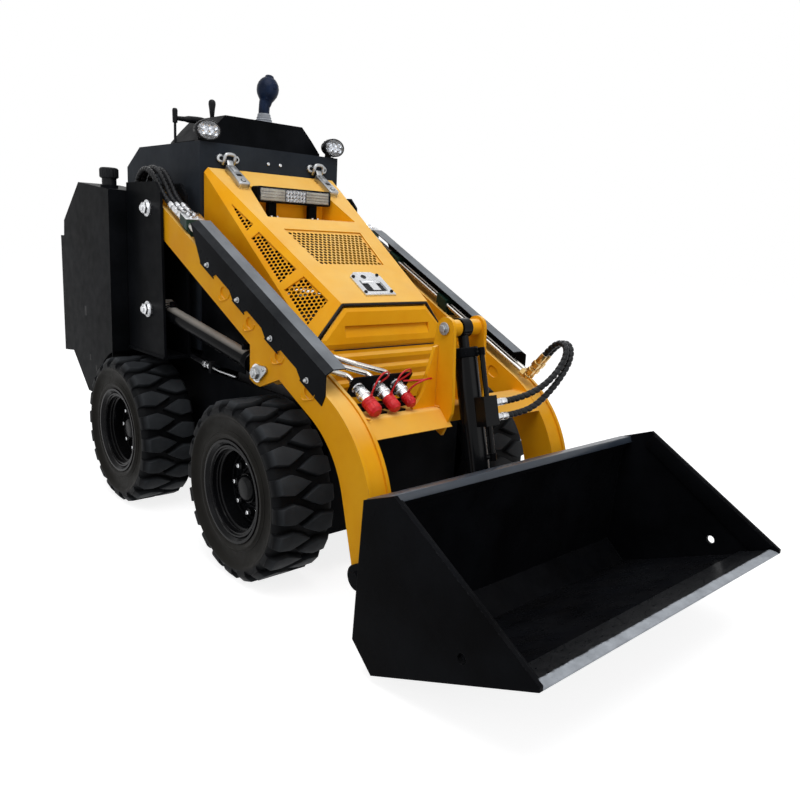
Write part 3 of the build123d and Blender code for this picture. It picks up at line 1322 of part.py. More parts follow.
# ---------------------------------------------------------------- operator's platform
with BuildPart() as platform:
    deck_front = at(platform_hinge_station) + 16
    block(-platform_half_width, platform_half_width, deck_front, at(platform_rear_station),
          platform_z - platform_plate, platform_z)
    for side in (-1, 1):
        block(side * (platform_half_width - 8), side * platform_half_width, deck_front,
              at(platform_rear_station), platform_z - 40, platform_z)
    block(-platform_half_width, platform_half_width, at(platform_rear_station) - 8,
          at(platform_rear_station), platform_z - 40, platform_z)
    disc_x(platform_hinge, platform_bar_r, -frame_half_width, frame_half_width)
    block(-platform_half_width, platform_half_width, at(platform_hinge_station), deck_front + 1,
          platform_hinge[1] - 4, platform_hinge[1] + 4)
    block(-platform_half_width, platform_half_width, deck_front, deck_front + 8,
          platform_hinge[1] - 4, platform_z)
save(platform, "platform")
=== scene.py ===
import math

import bmesh
import bpy
from mathutils import Matrix, Vector


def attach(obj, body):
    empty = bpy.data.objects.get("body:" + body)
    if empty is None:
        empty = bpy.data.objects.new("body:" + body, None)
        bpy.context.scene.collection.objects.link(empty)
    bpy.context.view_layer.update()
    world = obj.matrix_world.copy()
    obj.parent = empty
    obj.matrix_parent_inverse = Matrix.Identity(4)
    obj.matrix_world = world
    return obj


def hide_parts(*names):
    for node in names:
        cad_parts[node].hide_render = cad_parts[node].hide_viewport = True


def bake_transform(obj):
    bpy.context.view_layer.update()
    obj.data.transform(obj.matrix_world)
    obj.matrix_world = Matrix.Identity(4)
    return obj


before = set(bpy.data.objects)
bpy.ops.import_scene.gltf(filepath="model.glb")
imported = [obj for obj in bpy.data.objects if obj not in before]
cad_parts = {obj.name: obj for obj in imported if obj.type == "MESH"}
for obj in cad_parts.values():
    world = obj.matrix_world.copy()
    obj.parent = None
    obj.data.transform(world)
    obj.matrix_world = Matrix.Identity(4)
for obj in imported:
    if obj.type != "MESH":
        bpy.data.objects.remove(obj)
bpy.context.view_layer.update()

MM = 0.001
FRONT_AXLE_Y = -168.0
X, Y, Z = (Vector(axis) for axis in ((1, 0, 0), (0, 1, 0), (0, 0, 1)))
SIDES = ((-1, "right"), (1, "left"))


def at(x, station, z):
    """A point from x, distance behind the front axle and height, all in mm."""
    return Vector((x, FRONT_AXLE_Y + station, z)) * MM


def path(*points):
    return [at(*point) for point in points]


def upright(x, *pairs):
    """Points (station, z) on the upright plane at x, in mm."""
    return [at(x, station, z) for station, z in pairs]


def add_object(name, data):
    made = bpy.data.objects.new(name, data)
    bpy.context.scene.collection.objects.link(made)
    return made


# ------------ camera
def place_camera():
    yaw, pitch, roll = (math.radians(angle) for angle in (-42.7, 12.2, 3.0))
    place, focal_px, picture_px, sensor_mm = (-1.741, -2.2164, 1.1214), 760.7, 800, 36
    back = Vector((math.sin(yaw) * math.cos(pitch), -math.cos(yaw) * math.cos(pitch), math.sin(pitch)))
    right = (-back).cross(Z).normalized()
    up = right.cross(-back)
    axes = Matrix((math.cos(roll) * right + math.sin(roll) * up,
                   math.cos(roll) * up - math.sin(roll) * right, back)).transposed()
    data = bpy.data.cameras.new("camera")
    data.lens = focal_px / picture_px * sensor_mm
    data.sensor_width = sensor_mm
    data.clip_start, data.clip_end = 0.05, 100
    camera = add_object("camera", data)
    camera.matrix_world = Matrix.Translation(place) @ axes.to_4x4()
    bpy.context.scene.camera = camera


place_camera()


# ------------ materials
class Nodes:
    """A short way to write the node tree of a material or the world."""

    def __init__(self, owner, output="OutputMaterial"):
        owner.use_nodes = True
        self.owner, self.tree = owner, owner.node_tree
        self.tree.nodes.clear()
        self.out = self.new(output).inputs[0]

    def new(self, kind, feeds=None, **settings):
        """A node, with its sockets fed by name or number, and its outputs as the result."""
        node = self.tree.nodes.new("ShaderNode" + kind)
        for key, value in settings.items():
            setattr(node, key, value)
        for key, value in (feeds or {}).items():
            self.feed(node.inputs[key], value)
        return node

    def feed(self, socket, value):
        """Links a socket to an output, or sets it to a number or a colour."""
        if isinstance(value, bpy.types.NodeSocket):
            self.tree.links.new(value, socket)
        else:
            socket.default_value = (*value, 1.0) if socket.type == "RGBA" else value

    def noise(self, scale, detail=3.0, rough=0.55):
        place = self.new("TexCoord").outputs["Object"]
        feeds = {"Vector": place, "Scale": scale, "Detail": detail, "Roughness": rough}
        return self.new("TexNoise", feeds).outputs["Fac"]

    def ramp(self, value, low, high, out_low=0.0, out_high=1.0):
        feeds = {"Value": value, "From Min": low, "From Max": high, "To Min": out_low, "To Max": out_high}
        return self.new("MapRange", feeds).outputs["Result"]

    def patchy(self, scale, detail, low, high, out_low=0.0, out_high=1.0, rough=0.55):
        """Noise whose levels from low to high are spread over the output's range."""
        return self.ramp(self.noise(scale, detail, rough), low, high, out_low, out_high)

    def maths(self, how, a, b=0.0):
        return self.new("Math", {0: a, 1: b}, operation=how).outputs[0]

    def mix(self, share, a, b):
        return self.new("Mix", {0: share, 6: a, 7: b}, data_type="RGBA").outputs[2]

    def dot(self, a, b):
        return self.new("VectorMath", {0: a, 1: b}, operation="DOT_PRODUCT").outputs["Value"]

    def rounded(self, radius):
        """The normal as if each edge were rounded to a radius."""
        return self.new("Bevel", {"Radius": radius}, samples=4).outputs["Normal"]

    def edges(self):
        """1 along convex and concave edges, 0 on flats."""
        flat = self.new("NewGeometry").outputs["Normal"]
        return self.ramp(self.dot(self.rounded(0.0022), flat), 0.999, 0.86)

    def facing_up(self):
        """How far a face looks up, from -1 to 1, on the object as it stands at rest."""
        return self.new("SeparateXYZ", {0: self.new("TexCoord").outputs["Normal"]}).outputs["Z"]

    def seen(self, unseen, shown):
        """One level for lighting the object, another where the camera, a gloss or glass shows it."""
        rays = self.new("LightPath").outputs
        direct = self.maths("MAXIMUM", rays["Is Camera Ray"], rays["Is Glossy Ray"])
        return self.ramp(self.maths("MAXIMUM", direct, rays["Is Transmission Ray"]), 0, 1, unseen, shown)

    def shade(self, colour, rough, bump=None, bevel=0.0, **plain):
        """The principled shader: linked colour and roughness, bump as (height, distance)."""
        feeds = {key.replace("_", " ").title().replace("Ior", "IOR"): value for key, value in plain.items()}
        shader = self.new("BsdfPrincipled", {"Base Color": colour, "Roughness": rough, **feeds})
        if bump:
            feeds = {"Height": bump[0], "Distance": bump[1], "Strength": 1.0, "Normal": self.rounded(bevel)}
            self.feed(shader.inputs["Normal"], self.new("Bump", feeds).outputs["Normal"])
        self.feed(self.out, shader.outputs[0])
        return self.owner


def material(name):
    return Nodes(bpy.data.materials.new(name))


def enamel(name, shades, rough, wear, dust, specular, coat=0.0, sky_sheen=None):
    """Sprayed enamel: slow shade changes, orange peel, rubbed edges, a little dust on top and, where asked, a painted
    sheen on faces that look up.

    shades are the plain, light and dark colour; wear and dust are a colour and its amount; the last
    is a painted sheen: its colour towards the sky, how far up its faces look, and its least and greatest share.
    """
    n = material(name)
    plain, light, dark = shades
    base = n.mix(n.patchy(5.0, 4.0, 0.35, 0.65), dark, light)
    base = n.mix(n.patchy(38.0, 5.0, 0.45, 0.75, 0.0, 0.35), base, plain)
    # painted sheen: faces that look up are lightened in patches towards a pale colour
    if sky_sheen:
        pale, sky, share = sky_sheen
        lit = n.maths("MULTIPLY", n.ramp(n.facing_up(), *sky), n.patchy(7.0, 5.0, 0.3, 0.7, *share))
        base = n.mix(lit, base, pale)
    worn = n.maths("MULTIPLY", n.edges(), n.patchy(90.0, 6.0, 0.50, 0.66, 0.0, wear[1], 0.7))
    base = n.mix(worn, base, wear[0])
    dusty = n.maths("MULTIPLY", n.ramp(n.facing_up(), 0.2, 0.95), n.patchy(11.0, 6.0, 0.40, 0.75, 0.0, dust[1], 0.65))
    base = n.mix(dusty, base, dust[0])
    shine = n.patchy(24.0, 5.0, 0.3, 0.7, rough - 0.05, rough + 0.09)
    return n.shade(base, shine, (n.noise(420.0, 2.0), 0.00012), 0.0025,
                   coat_weight=coat, coat_roughness=0.10, specular_ior_level=specular)


def steel(name, colour, rough=0.28, scratch=0.35, bevel=0.0012, dark=0.55):
    """Plated or cast metal with fine scratches and darker stains."""
    n = material(name)
    base = n.mix(n.patchy(14.0, 4.0, 0.45, 0.75, 0.0, 0.45), colour, tuple(c * dark for c in colour))
    lines = n.noise(90.0, 3.0, 0.6)
    shine = n.ramp(lines, 0.3, 0.7, rough - 0.06, rough + scratch * 0.3)
    return n.shade(base, shine, (lines, 0.000015), bevel, metallic=1.0)


def moulded(name, colour, rough, specular=0.5, tone=0.35, grain=0.00018):
    """Moulded plastic or rubber with a fine grain."""
    n = material(name)
    light = tuple(min(1.0, c * (1 + tone) + 0.004) for c in colour)
    base = n.mix(n.patchy(16.0, 4.0, 0.35, 0.7), tuple(c * (1 - tone) for c in colour), light)
    shine = n.patchy(60.0, 4.0, 0.3, 0.7, rough - 0.07, rough + 0.1)
    return n.shade(base, shine, (n.noise(700.0, 2.0), grain), 0.0015, specular_ior_level=specular)


def tyre_rubber():
    """Rubber painted lighter and bluer on top of the lugs as a painted sheen, and darkest down in the grooves as
    painted shade.
    """
    n = material("tyre_rubber")
    place = n.new("SeparateXYZ", {0: n.new("TexCoord").outputs["Object"]}).outputs
    square = n.maths("ADD", *(n.maths("MULTIPLY", place[axis], place[axis]) for axis in "YZ"))
    radius = n.maths("ADD", n.maths("SQRT", square), n.patchy(30.0, 4.0, 0.3, 0.7, -0.0015, 0.0015))
    wall = n.mix(n.patchy(9.0, 4.0, 0.35, 0.7), (0.0125, 0.0118, 0.0105), (0.0190, 0.0178, 0.0158))
    # painted shade: the grooves between the lugs are darkened
    groove = n.mix(n.ramp(radius, 0.247, 0.256), wall, (0.0060, 0.0065, 0.0075))
    # painted sheen: the tops of the lugs are lighter and bluer
    block = n.mix(n.patchy(14.0, 5.0, 0.35, 0.7), (0.0250, 0.0275, 0.0310), (0.0370, 0.0405, 0.0450))
    base = n.mix(n.ramp(radius, 0.276, 0.290), groove, block)
    shine = n.patchy(60.0, 4.0, 0.3, 0.7, 0.44, 0.58)
    return n.shade(base, shine, (n.noise(420.0, 2.0), 0.0003), 0.0018, specular_ior_level=0.05)


def lip_paint():
    """Bare steel on the bucket lip's bevel, black paint behind it."""
    n = material("edge_bevel")
    along = Vector((0, -1254 + 742, 242 - 24)).normalized()
    lip = at(0, -1254, 242).dot(along)
    run = n.dot(n.new("TexCoord").outputs["Object"], along)
    ragged = n.maths("ADD", run, n.patchy(60.0, 5.0, 0.3, 0.7, -0.004, 0.004, 0.7))
    black = n.mix(n.patchy(30.0, 5.0, 0.4, 0.7), (0.0035, 0.004, 0.005), (0.008, 0.0085, 0.010))
    bare = n.mix(n.patchy(24.0, 5.0, 0.35, 0.7, rough=0.6), (0.36, 0.39, 0.43), (0.22, 0.24, 0.27))
    base = n.mix(n.ramp(ragged, lip - 0.026, lip - 0.020), black, bare)
    shine = n.patchy(120.0, 3.0, 0.3, 0.7, 0.26, 0.44)
    return n.shade(base, shine, (n.noise(240.0, 2.0), 0.00008), 0.0012, specular_ior_level=0.3)


def clear_glass():
    n = material("lens_clear")
    colour = (0.9, 0.92, 0.95)
    base = n.mix(n.patchy(12.0, 3.0, 0.4, 0.7), colour, tuple(c * 0.94 for c in colour))
    return n.shade(base, n.patchy(50.0, 3.0, 0.3, 0.7, 0.04, 0.08), transmission_weight=0.92, ior=1.45)


INK = ((0.0035, 0.004, 0.005), (0.005, 0.0055, 0.0065), (0.0025, 0.0025, 0.003))
SCUFF = (0.10, 0.10, 0.11)
SOOT = ((0.16, 0.15, 0.14), 0.02)
RUBBED = ((0.07, 0.07, 0.07), 0.3)
HAZE = ((0.18, 0.17, 0.16), 0.03)
# yellow, with a painted pale sheen on faces that look up, such as the hood's crown
YELLOW = enamel("paint_yellow", ((0.87, 0.385, 0.008), (0.90, 0.425, 0.012), (0.83, 0.345, 0.005)), 0.34,
                ((0.30, 0.28, 0.26), 0.5), ((0.45, 0.38, 0.28), 0.10), 0.05,
                sky_sheen=((0.93, 0.62, 0.20), (0.58, 0.88), (0.48, 0.78)))
BLACK = enamel("paint_black", ((0.0035, 0.004, 0.005), (0.0055, 0.006, 0.0075), (0.0025, 0.0025, 0.003)), 0.28,
               (SCUFF, 0.40), SOOT, 0.012)
SATIN = enamel("paint_satin_black", ((0.0045, 0.005, 0.006), (0.0075, 0.0082, 0.010), (0.003, 0.0035, 0.0042)), 0.36,
               RUBBED, HAZE, 0.014)
# the dash box's black paint, made lighter and bluer all over as a painted sheen
DASH_SHEEN = enamel("paint_dash_sheen", ((0.024, 0.029, 0.037), (0.030, 0.036, 0.045), (0.018, 0.022, 0.029)), 0.36,
              RUBBED, HAZE, 0.02)
# black, with a painted grey sheen on the covers' top facets
COVER = enamel("paint_cover", ((0.006, 0.0065, 0.008), (0.009, 0.010, 0.012), (0.004, 0.0045, 0.0055)), 0.30,
               ((0.20, 0.20, 0.20), 0.4), ((0.34, 0.35, 0.36), 0.05), 0.015,
               sky_sheen=((0.25, 0.27, 0.295), (0.81, 0.885), (0.55, 0.95)))
# black, with a painted highlight on faces that look up, along the tops of the lift barrels
BARREL_HIGHLIGHT = enamel("paint_black_barrel_highlight", INK, 0.20, (SCUFF, 0.2), SOOT, 0.03,
               sky_sheen=((0.44, 0.42, 0.39), (0.55, 0.92), (0.75, 1.0)))
SHEEN = enamel("paint_sheen_black", INK, 0.18, (SCUFF, 0.2), SOOT, 0.06, coat=0.08)
# black made slate blue for the bucket's top rail, a painted reflection of the white surroundings
RAIL_REFLECTION = enamel("paint_rail_reflection", ((0.028, 0.038, 0.054), (0.037, 0.049, 0.068), (0.020, 0.028, 0.041)), 0.34,
               ((0.28, 0.29, 0.30), 0.5), ((0.20, 0.21, 0.22), 0.10), 0.3, coat=0.15)
RIM = enamel("paint_rim", ((0.004, 0.0045, 0.0055), (0.007, 0.0075, 0.009), (0.003, 0.003, 0.0035)), 0.20,
             ((0.12, 0.12, 0.11), 0.35), ((0.12, 0.11, 0.10), 0.04), 0.05, coat=0.08)
ZINC = steel("steel_zinc", (0.70, 0.71, 0.73), 0.24)
PIPE = steel("steel_pipe", (0.55, 0.53, 0.50), 0.26, dark=0.45)
CHROME = steel("steel_chrome", (0.82, 0.83, 0.85), 0.13, scratch=0.1, dark=0.85)
BRASS = steel("brass", (0.62, 0.42, 0.16))
IRON = steel("cast_iron", (0.13, 0.13, 0.14), 0.6, dark=0.6)
CAST = steel("cast_latch", (0.40, 0.41, 0.42), 0.40, scratch=0.2, bevel=0.002, dark=0.7)
PLASTIC = moulded("plastic_black", (0.007, 0.0075, 0.009), 0.36, 0.10)
GRIP = moulded("plastic_navy", (0.0030, 0.0105, 0.034), 0.34, 0.10)
BOOT = moulded("rubber_boot", (0.30, 0.32, 0.36), 0.55, 0.3, tone=0.3)
MESH = moulded("grille_black", (0.006, 0.0065, 0.0075), 0.36, 0.3)
RED = moulded("plastic_red", (0.62, 0.008, 0.014), 0.38, 0.35, tone=0.18)
GREEN = moulded("clamp_green", (0.008, 0.028, 0.018), 0.45, 0.25)
HOSE = moulded("hose_black", (0.008, 0.0085, 0.010), 0.34, 0.15, tone=0.4)
SEAL = moulded("rubber_seal", (0.005, 0.005, 0.006), 0.5, 0.2)
BEIGE = moulded("lens_beige", (0.42, 0.38, 0.29), 0.25, 0.6, tone=0.2, grain=0.00002)
PALE = moulded("lens_pale", (0.62, 0.64, 0.66), 0.22, tone=0.08, grain=0.00002)
# painted shade: near-black filling for the tank's openings
HOLE_SHADE = moulded("painted_hole_shade", (0.003, 0.003, 0.004), 0.8)
TYRE, LIP, GLASS = tyre_rubber(), lip_paint(), clear_glass()

NODE_PAINT = {
    YELLOW: "arm_left arm_right cross_member hood front_cover",
    BLACK: "bucket attach_plate coupler_plate light_bar",
    SHEEN: "tilt_rod tilt_barrel",
    BARREL_HIGHLIGHT: "lift_barrels",
    SATIN: "frame axles towers side_tanks platform console",
    DASH_SHEEN: "dash_box",
    COVER: "arm_covers",
    RIM: "rim_front_left rim_front_right rim_rear_left rim_rear_right",
    LIP: "cutting_edge",
    ZINC: "tower_pins arm_pins couplers hood_fittings",
    PIPE: "arm_tubes",
    CHROME: "lift_rods",
    IRON: "engine",
    PLASTIC: "joystick levers filler_caps work_lamps",
    GREEN: "tube_clamps",
    MESH: "hood_grille",
    RED: "coupler_caps",
    TYRE: "tyre_front_left tyre_front_right tyre_rear_left tyre_rear_right",
    HOSE: "boom_hoses tilt_hoses",
}
for paint, names in NODE_PAINT.items():
    for name in names.split():
        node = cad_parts[name]
        if node.material_slots:
            for slot in node.material_slots:
                slot.link = "OBJECT"
                slot.material = paint
        else:
            node.data.materials.append(paint)

# the record's slot for each paint, which done() looks up but does not use; lens materials have none
SLOT_OF = {YELLOW: "body_paint", BLACK: "black_paint", SATIN: "black_paint", RIM: "rim_paint", RAIL_REFLECTION: "edge_steel",
           ZINC: "bright_steel", CAST: "bright_steel", BRASS: "bright_steel", CHROME: "rod_chrome",
           PLASTIC: "dark_plastic", SEAL: "dark_plastic", GRIP: "dark_plastic", BOOT: "dark_plastic",
           HOLE_SHADE: "dark_plastic", RED: "red_plastic", TYRE: "tyre_rubber", HOSE: "hose_rubber"}


# ------------ mesh building
def side_frame(axis):
    """Two directions square to an axis."""
    u = axis.cross(Z if abs(axis.z) < 0.9 else X).normalized()
    return u, axis.cross(u).normalized()


def spokes(count, u, v, start=0.0):
    """Directions spread evenly round, from u towards v."""
    angles = (2 * math.pi * (k + start) / count for k in range(count))
    return [u * math.cos(a) + v * math.sin(a) for a in angles]


def bridge(bm, rings):
    """Faces between neighbouring rings of vertices, where a ring may be one point."""
    for low, high in zip(rings, rings[1:]):
        for k in range(max(len(low), len(high))):
            corners = (low[k % len(low)], low[(k + 1) % len(low)], high[(k + 1) % len(high)], high[k % len(high)])
            corners = list(dict.fromkeys(corners))
            if len(corners) > 2:
                bm.faces.new(corners)


class Shape:
    """A mesh put together from simple forms. Places are in metres, sizes in mm."""

    def __init__(self):
        self.bm = bmesh.new()

    def absorb(self, other):
        mesh = bpy.data.meshes.new("part")
        other.to_mesh(mesh)
        other.free()
        self.bm.from_mesh(mesh)
        bpy.data.meshes.remove(mesh)
        return self

    def outward(self, bm):
        bmesh.ops.recalc_face_normals(bm, faces=bm.faces)
        return self.absorb(bm)

    def lathe(self, origin, axis, profile, sides=32, start=0.0):
        """Revolves (along, radius) points about an axis. Equal first and last points make a ring."""
        bm = bmesh.new()
        u, v = side_frame(axis)
        rings = []
        for along, radius in profile:
            centre = origin + axis * ((start + along) * MM)
            directions = spokes(sides, u, v) if radius else [Vector()]
            rings.append([bm.verts.new(centre + direction * (radius * MM)) for direction in directions])
        bridge(bm, rings)
        if profile[0] == profile[-1]:
            bmesh.ops.remove_doubles(bm, verts=bm.verts, dist=1e-7)
        else:
            for ring in (rings[0], rings[-1]):
                if len(ring) > 2:
                    bm.faces.new(ring)
        return self.outward(bm)

    def hexagon(self, origin, axis, radius, length, start=0.0):
        edge = radius * 0.12
        profile = [(0, radius), (length - edge, radius), (length, radius - edge * 1.6)]
        return self.lathe(origin, axis, profile, 6, start)

    def bolt(self, origin, axis, radius, height=None):
        """A washer and a hexagon head."""
        washer = [(0, 1.35), (0.18, 1.35), (0.22, 1.28)]
        self.lathe(origin, axis, [(along * radius, r * radius) for along, r in washer], 20)
        return self.hexagon(origin, axis, radius, height or radius * 0.9, radius * 0.2)

    def screw(self, origin, axis, radius, height=None):
        """A round head with a socket."""
        height = height or radius * 0.7
        head = [(0, 1), (0.6, 1), (1, 0.8), (1, 0.45), (0.45, 0.42), (0.45, 0)]
        return self.lathe(origin, axis, [(along * height, r * radius) for along, r in head], 16)

    def tube(self, points, radius, sides=12, wave=None):
        """A round tube along points. wave(distance, angle) scales the radius."""
        bm = bmesh.new()
        u, _ = side_frame((points[1] - points[0]).normalized())
        rings, run = [], 0.0
        for i, here in enumerate(points):
            behind, ahead = points[max(i - 1, 0)], points[min(i + 1, len(points) - 1)]
            direction = (ahead - behind).normalized()
            u = (u - direction * u.dot(direction)).normalized()
            run += (here - behind).length / MM
            ring = []
            for k, spoke in enumerate(spokes(sides, u, direction.cross(u))):
                r = radius * (wave(run, 2 * math.pi * k / sides) if wave else 1.0)
                ring.append(bm.verts.new(here + spoke * (r * MM)))
            rings.append(ring)
        bridge(bm, rings)
        bm.faces.new(rings[0])
        bm.faces.new(rings[-1])
        return self.outward(bm)

    def prism(self, outline, direction, thick, bevel=0.0, segments=2):
        """A flat outline of points, made thick along a direction, with rounded edges."""
        bm = bmesh.new()
        face = bm.faces.new([bm.verts.new(p) for p in outline])
        moved = bmesh.ops.extrude_face_region(bm, geom=[face])
        far = [g for g in moved["geom"] if isinstance(g, bmesh.types.BMVert)]
        bmesh.ops.translate(bm, vec=direction * (thick * MM), verts=far)
        bmesh.ops.recalc_face_normals(bm, faces=bm.faces)
        if bevel:
            bmesh.ops.bevel(bm, geom=list(bm.edges), offset=bevel * MM, segments=segments, profile=0.5,
                            affect="EDGES", clamp_overlap=True)
        return self.absorb(bm)

    def block(self, low, high, bevel=0.0):
        """A block between two corners, with rounded edges."""
        outline = [Vector((x, y, low.z)) for x, y in
                   ((low.x, low.y), (high.x, low.y), (high.x, high.y), (low.x, high.y))]
        return self.prism(outline, Z, (high.z - low.z) / MM, bevel)

    def placed(self, matrix):
        bmesh.ops.transform(self.bm, matrix=matrix, verts=self.bm.verts)
        return self

    def mesh(self, name, paint, sharp=32.0):
        """The mesh in its paint, smooth-shaded up to the sharp angle."""
        mesh = bpy.data.meshes.new(name)
        self.bm.to_mesh(mesh)
        self.bm.free()
        mesh.materials.append(paint)
        mesh.polygons.foreach_set("use_smooth", [True] * len(mesh.polygons))
        mesh.set_sharp_from_angle(angle=math.radians(sharp))
        return mesh

    def done(self, name, paint, body, sharp=32.0, slot=None, node=None):
        """Makes the object. It rides on a body, and may stand for a CAD node."""
        piece = add_object(name, self.mesh(name, paint, sharp))
        if body:
            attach(piece, body)
        slot = slot or SLOT_OF.get(paint)
        if node:
            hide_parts(node)
        return piece


def smooth(route):
    """Points along the smooth line that has the route as its control points."""
    data = bpy.data.curves.new("route", "CURVE")
    data.dimensions = "3D"
    data.resolution_u = 16
    spline = data.splines.new("NURBS")
    spline.points.add(len(route) - 1)
    for point, place in zip(spline.points, route):
        point.co = (*place, 1.0)
    spline.order_u = 3
    spline.use_endpoint_u = True
    line = add_object("route", data)
    bpy.context.view_layer.update()
    mesh = bpy.data.meshes.new_from_object(line)
    points = [v.co.copy() for v in mesh.vertices]
    bpy.data.meshes.remove(mesh)
    bpy.data.objects.remove(line)
    bpy.data.curves.remove(data)
    return points


def even_points(points, step):
    """The same line with points a step apart, in mm."""
    step *= MM
    out, need = [points[0]], step
    for a, b in zip(points[:-1], points[1:]):
        length = (b - a).length
        while need <= length:
            out.append(a.lerp(b, need / length))
            need += step
        need -= length
    if (out[-1] - points[-1]).length < step * 0.5:
        out.pop()
    return out + [points[-1]]


def bent(route, step):
    return even_points(smooth(route), step)


def cord(name, route, paint, diameter, step, sides, sharp, body=None, blend=None, wave=None):
    """A cord along its route's smooth line: diameter and step in mm."""
    line = smooth(route)
    piece = Shape().tube(even_points(line, step), diameter / 2, sides, wave).done(name, paint, body, sharp)
    if blend:
        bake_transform(piece)
    return piece


# ------------ hoses
ARM_TOP, ARM_SLOPE = 828.0, 0.5
TUBE_LIFT = 30.0
HOSE_D = 20
HOSE_FOOT = (964.0, 1188.0)
WRAP_PITCH = 19.5


def on_arm(x, station, lift=TUBE_LIFT):
    """A point above the arm's sloping top edge, in mm."""
    return at(x, station, ARM_TOP + ARM_SLOPE * station + lift)


def wrapped(run, angle):
    """The radius of a hose in spiral wrap: broad bands with narrow grooves between."""
    turn = (run / WRAP_PITCH - angle / (2 * math.pi)) % 1.0
    groove = max(0.0, 1 - abs(turn - 0.5) / 0.20)
    return 1.07 - 0.25 * groove ** 0.6


def hose(name, route, blend):
    return cord(name, route, HOSE, HOSE_D, 2.1, 18, 50, blend=blend, wave=wrapped)


# (sideways, station, z) along a boom hose; then each hose's x, rise, share of sideways and length
BOOM_ROUTE = ((-2, 756, 1260), (-4, 812, 1311), (-3, 877, 1328), (1, 938, 1301), (0, 964, 1243))
BOOM_HOSES = ((-388.0, 0, 1.0, 0.432), (-412.0, 4, 0.2, 0.439), (-436.0, -3, -0.8, 0.427),
              (388.0, 2, -1.0, 0.436), (412.0, -4, 0.8, 0.426))
for number, (x, rise, shift, length) in enumerate(BOOM_HOSES, 1):
    route = [on_arm(x, 668), on_arm(x, 708)]
    route += [at(x - dx * shift, station, z + rise) for dx, station, z in BOOM_ROUTE] + [at(x, *HOSE_FOOT)]
    blend = ("arms", "chassis", at(x, 700, 1210), at(x, 962, 1230))
    hose(f"boom_hose_{number}", route, blend)
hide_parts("boom_hoses")

ELBOW_STATION, ELBOW_TIP = -396, (-467, 746)
STRAIGHT_START, STRAIGHT_END = 44, 46
TILT_HOSES = (
    (388.0, 0.451, (104.0, -539.6, 626.1),
     ((383, -532, 797), (365, -568, 788), (341, -586, 757), (309, -586, 718), (267, -580, 680), (212, -566, 648))),
    (412.0, 0.496, (104.0, -550.7, 581.5),
     ((407, -533, 795), (390, -569, 783), (366, -588, 749), (335, -589, 707), (297, -585, 666), (252, -579, 628),
      (204, -570, 598))),
)
for number, (x, length, end, middle) in enumerate(TILT_HOSES, 1):
    start = at(x, *ELBOW_TIP)
    straight = (start - on_arm(x, ELBOW_STATION)).normalized() * STRAIGHT_START * MM
    route = [start, start + straight, *path(*middle), at(end[0] + STRAIGHT_END, *end[1:]), at(*end)]
    hose(f"tilt_hose_{number}", route,
                           ("tilt_rod", "tilt_barrel", at(340, -586, 757), at(190, -566, 640)))
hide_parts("tilt_hoses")

# ------------ wheels
TYRE_HALF, AXLE_Z, WHEEL_X = 109.0, 296.0, 465.0
LUGS = 20
LUG_TOP = math.sqrt(296.0 ** 2 - 37.0 ** 2)
TREAD_BASE = LUG_TOP - 22.0
# one flank of a lug at its top and its foot, from the nose out, as (x, across)
LUG_CREST = (-16, ((18, 18), (48, 31), (70, 28), (89, 24)))
LUG_FOOT = (-20, ((16, 21), (47, 35), (70, 32), (94, 27)))
# the lug's outer end on the shoulder and sidewall, as (x, across, r)
LUG_END = ((107, 25, LUG_TOP - 21), (109, 26, TREAD_BASE - 8), (107, 28, 252), (96, 29, 250))
# half the casing from the bead to the middle of the tread, as (x, r)
CASING = [(93, 168), (98, 169), (101, 173), (102, 178), (103.5, 181), (103.5, 187), (100, 190), (96, 198),
          (92.5, 207), (91.5, 217), (93.5, 229), (99, 239), (105.5, 244.5), (108, 249), (108, 252), (106, 256),
          (102, TREAD_BASE - 8), (96, TREAD_BASE - 3), (84, TREAD_BASE), (42, TREAD_BASE), (0, TREAD_BASE)]


def lug(half, angle):
    """One tread block: an arrow-nosed bar with drafted walls that turns down the shoulder."""
    bm = bmesh.new()

    def vertex(x, across, r):
        a = across / LUG_TOP
        return bm.verts.new(Vector((half * x, r * math.sin(a), r * math.cos(a))) * MM)

    upper, lower = ([vertex(nose, 0, r)] + [vertex(x, y, r) for x, y in flank]
                    + [vertex(x, -y, r) for x, y in reversed(flank)]
                    for (nose, flank), r in ((LUG_CREST, LUG_TOP), (LUG_FOOT, TREAD_BASE - 2)))
    ends = [[vertex(x, across * turn, r) for turn in (1, -1)] for x, across, r in LUG_END]
    bm.faces.new([upper[0], upper[1], upper[8]])
    for i in (1, 2, 3):
        bm.faces.new([upper[i], upper[i + 1], upper[8 - i], upper[9 - i]])
    for i in (0, 1, 2, 3, 5, 6, 7, 8):
        bm.faces.new([upper[i], lower[i], lower[(i + 1) % 9], upper[(i + 1) % 9]])
    for (a, b), (c, d) in zip([upper[4:6]] + ends, ends):
        bm.faces.new([a, c, d, b])
    shoulder, wall, below, foot = ends
    for k, (top, base) in enumerate(zip(upper[4:6], lower[4:6])):
        bm.faces.new([top, base, wall[k], shoulder[k]])
        bm.faces.new([base, foot[k], below[k], wall[k]])
    bmesh.ops.recalc_face_normals(bm, faces=bm.faces)
    crest = [e for e in bm.edges if len(e.link_faces) == 2 and e.calc_face_angle(0) > math.radians(18)
             and min((v.co.y ** 2 + v.co.z ** 2) ** 0.5 for v in e.verts) > (TREAD_BASE + 1) * MM]
    bmesh.ops.bevel(bm, geom=crest, offset=2.6 * MM, segments=2, profile=0.5, affect="EDGES", clamp_overlap=True)
    bmesh.ops.rotate(bm, cent=(0, 0, 0), matrix=Matrix.Rotation(angle, 3, "X"), verts=bm.verts)
    return bm


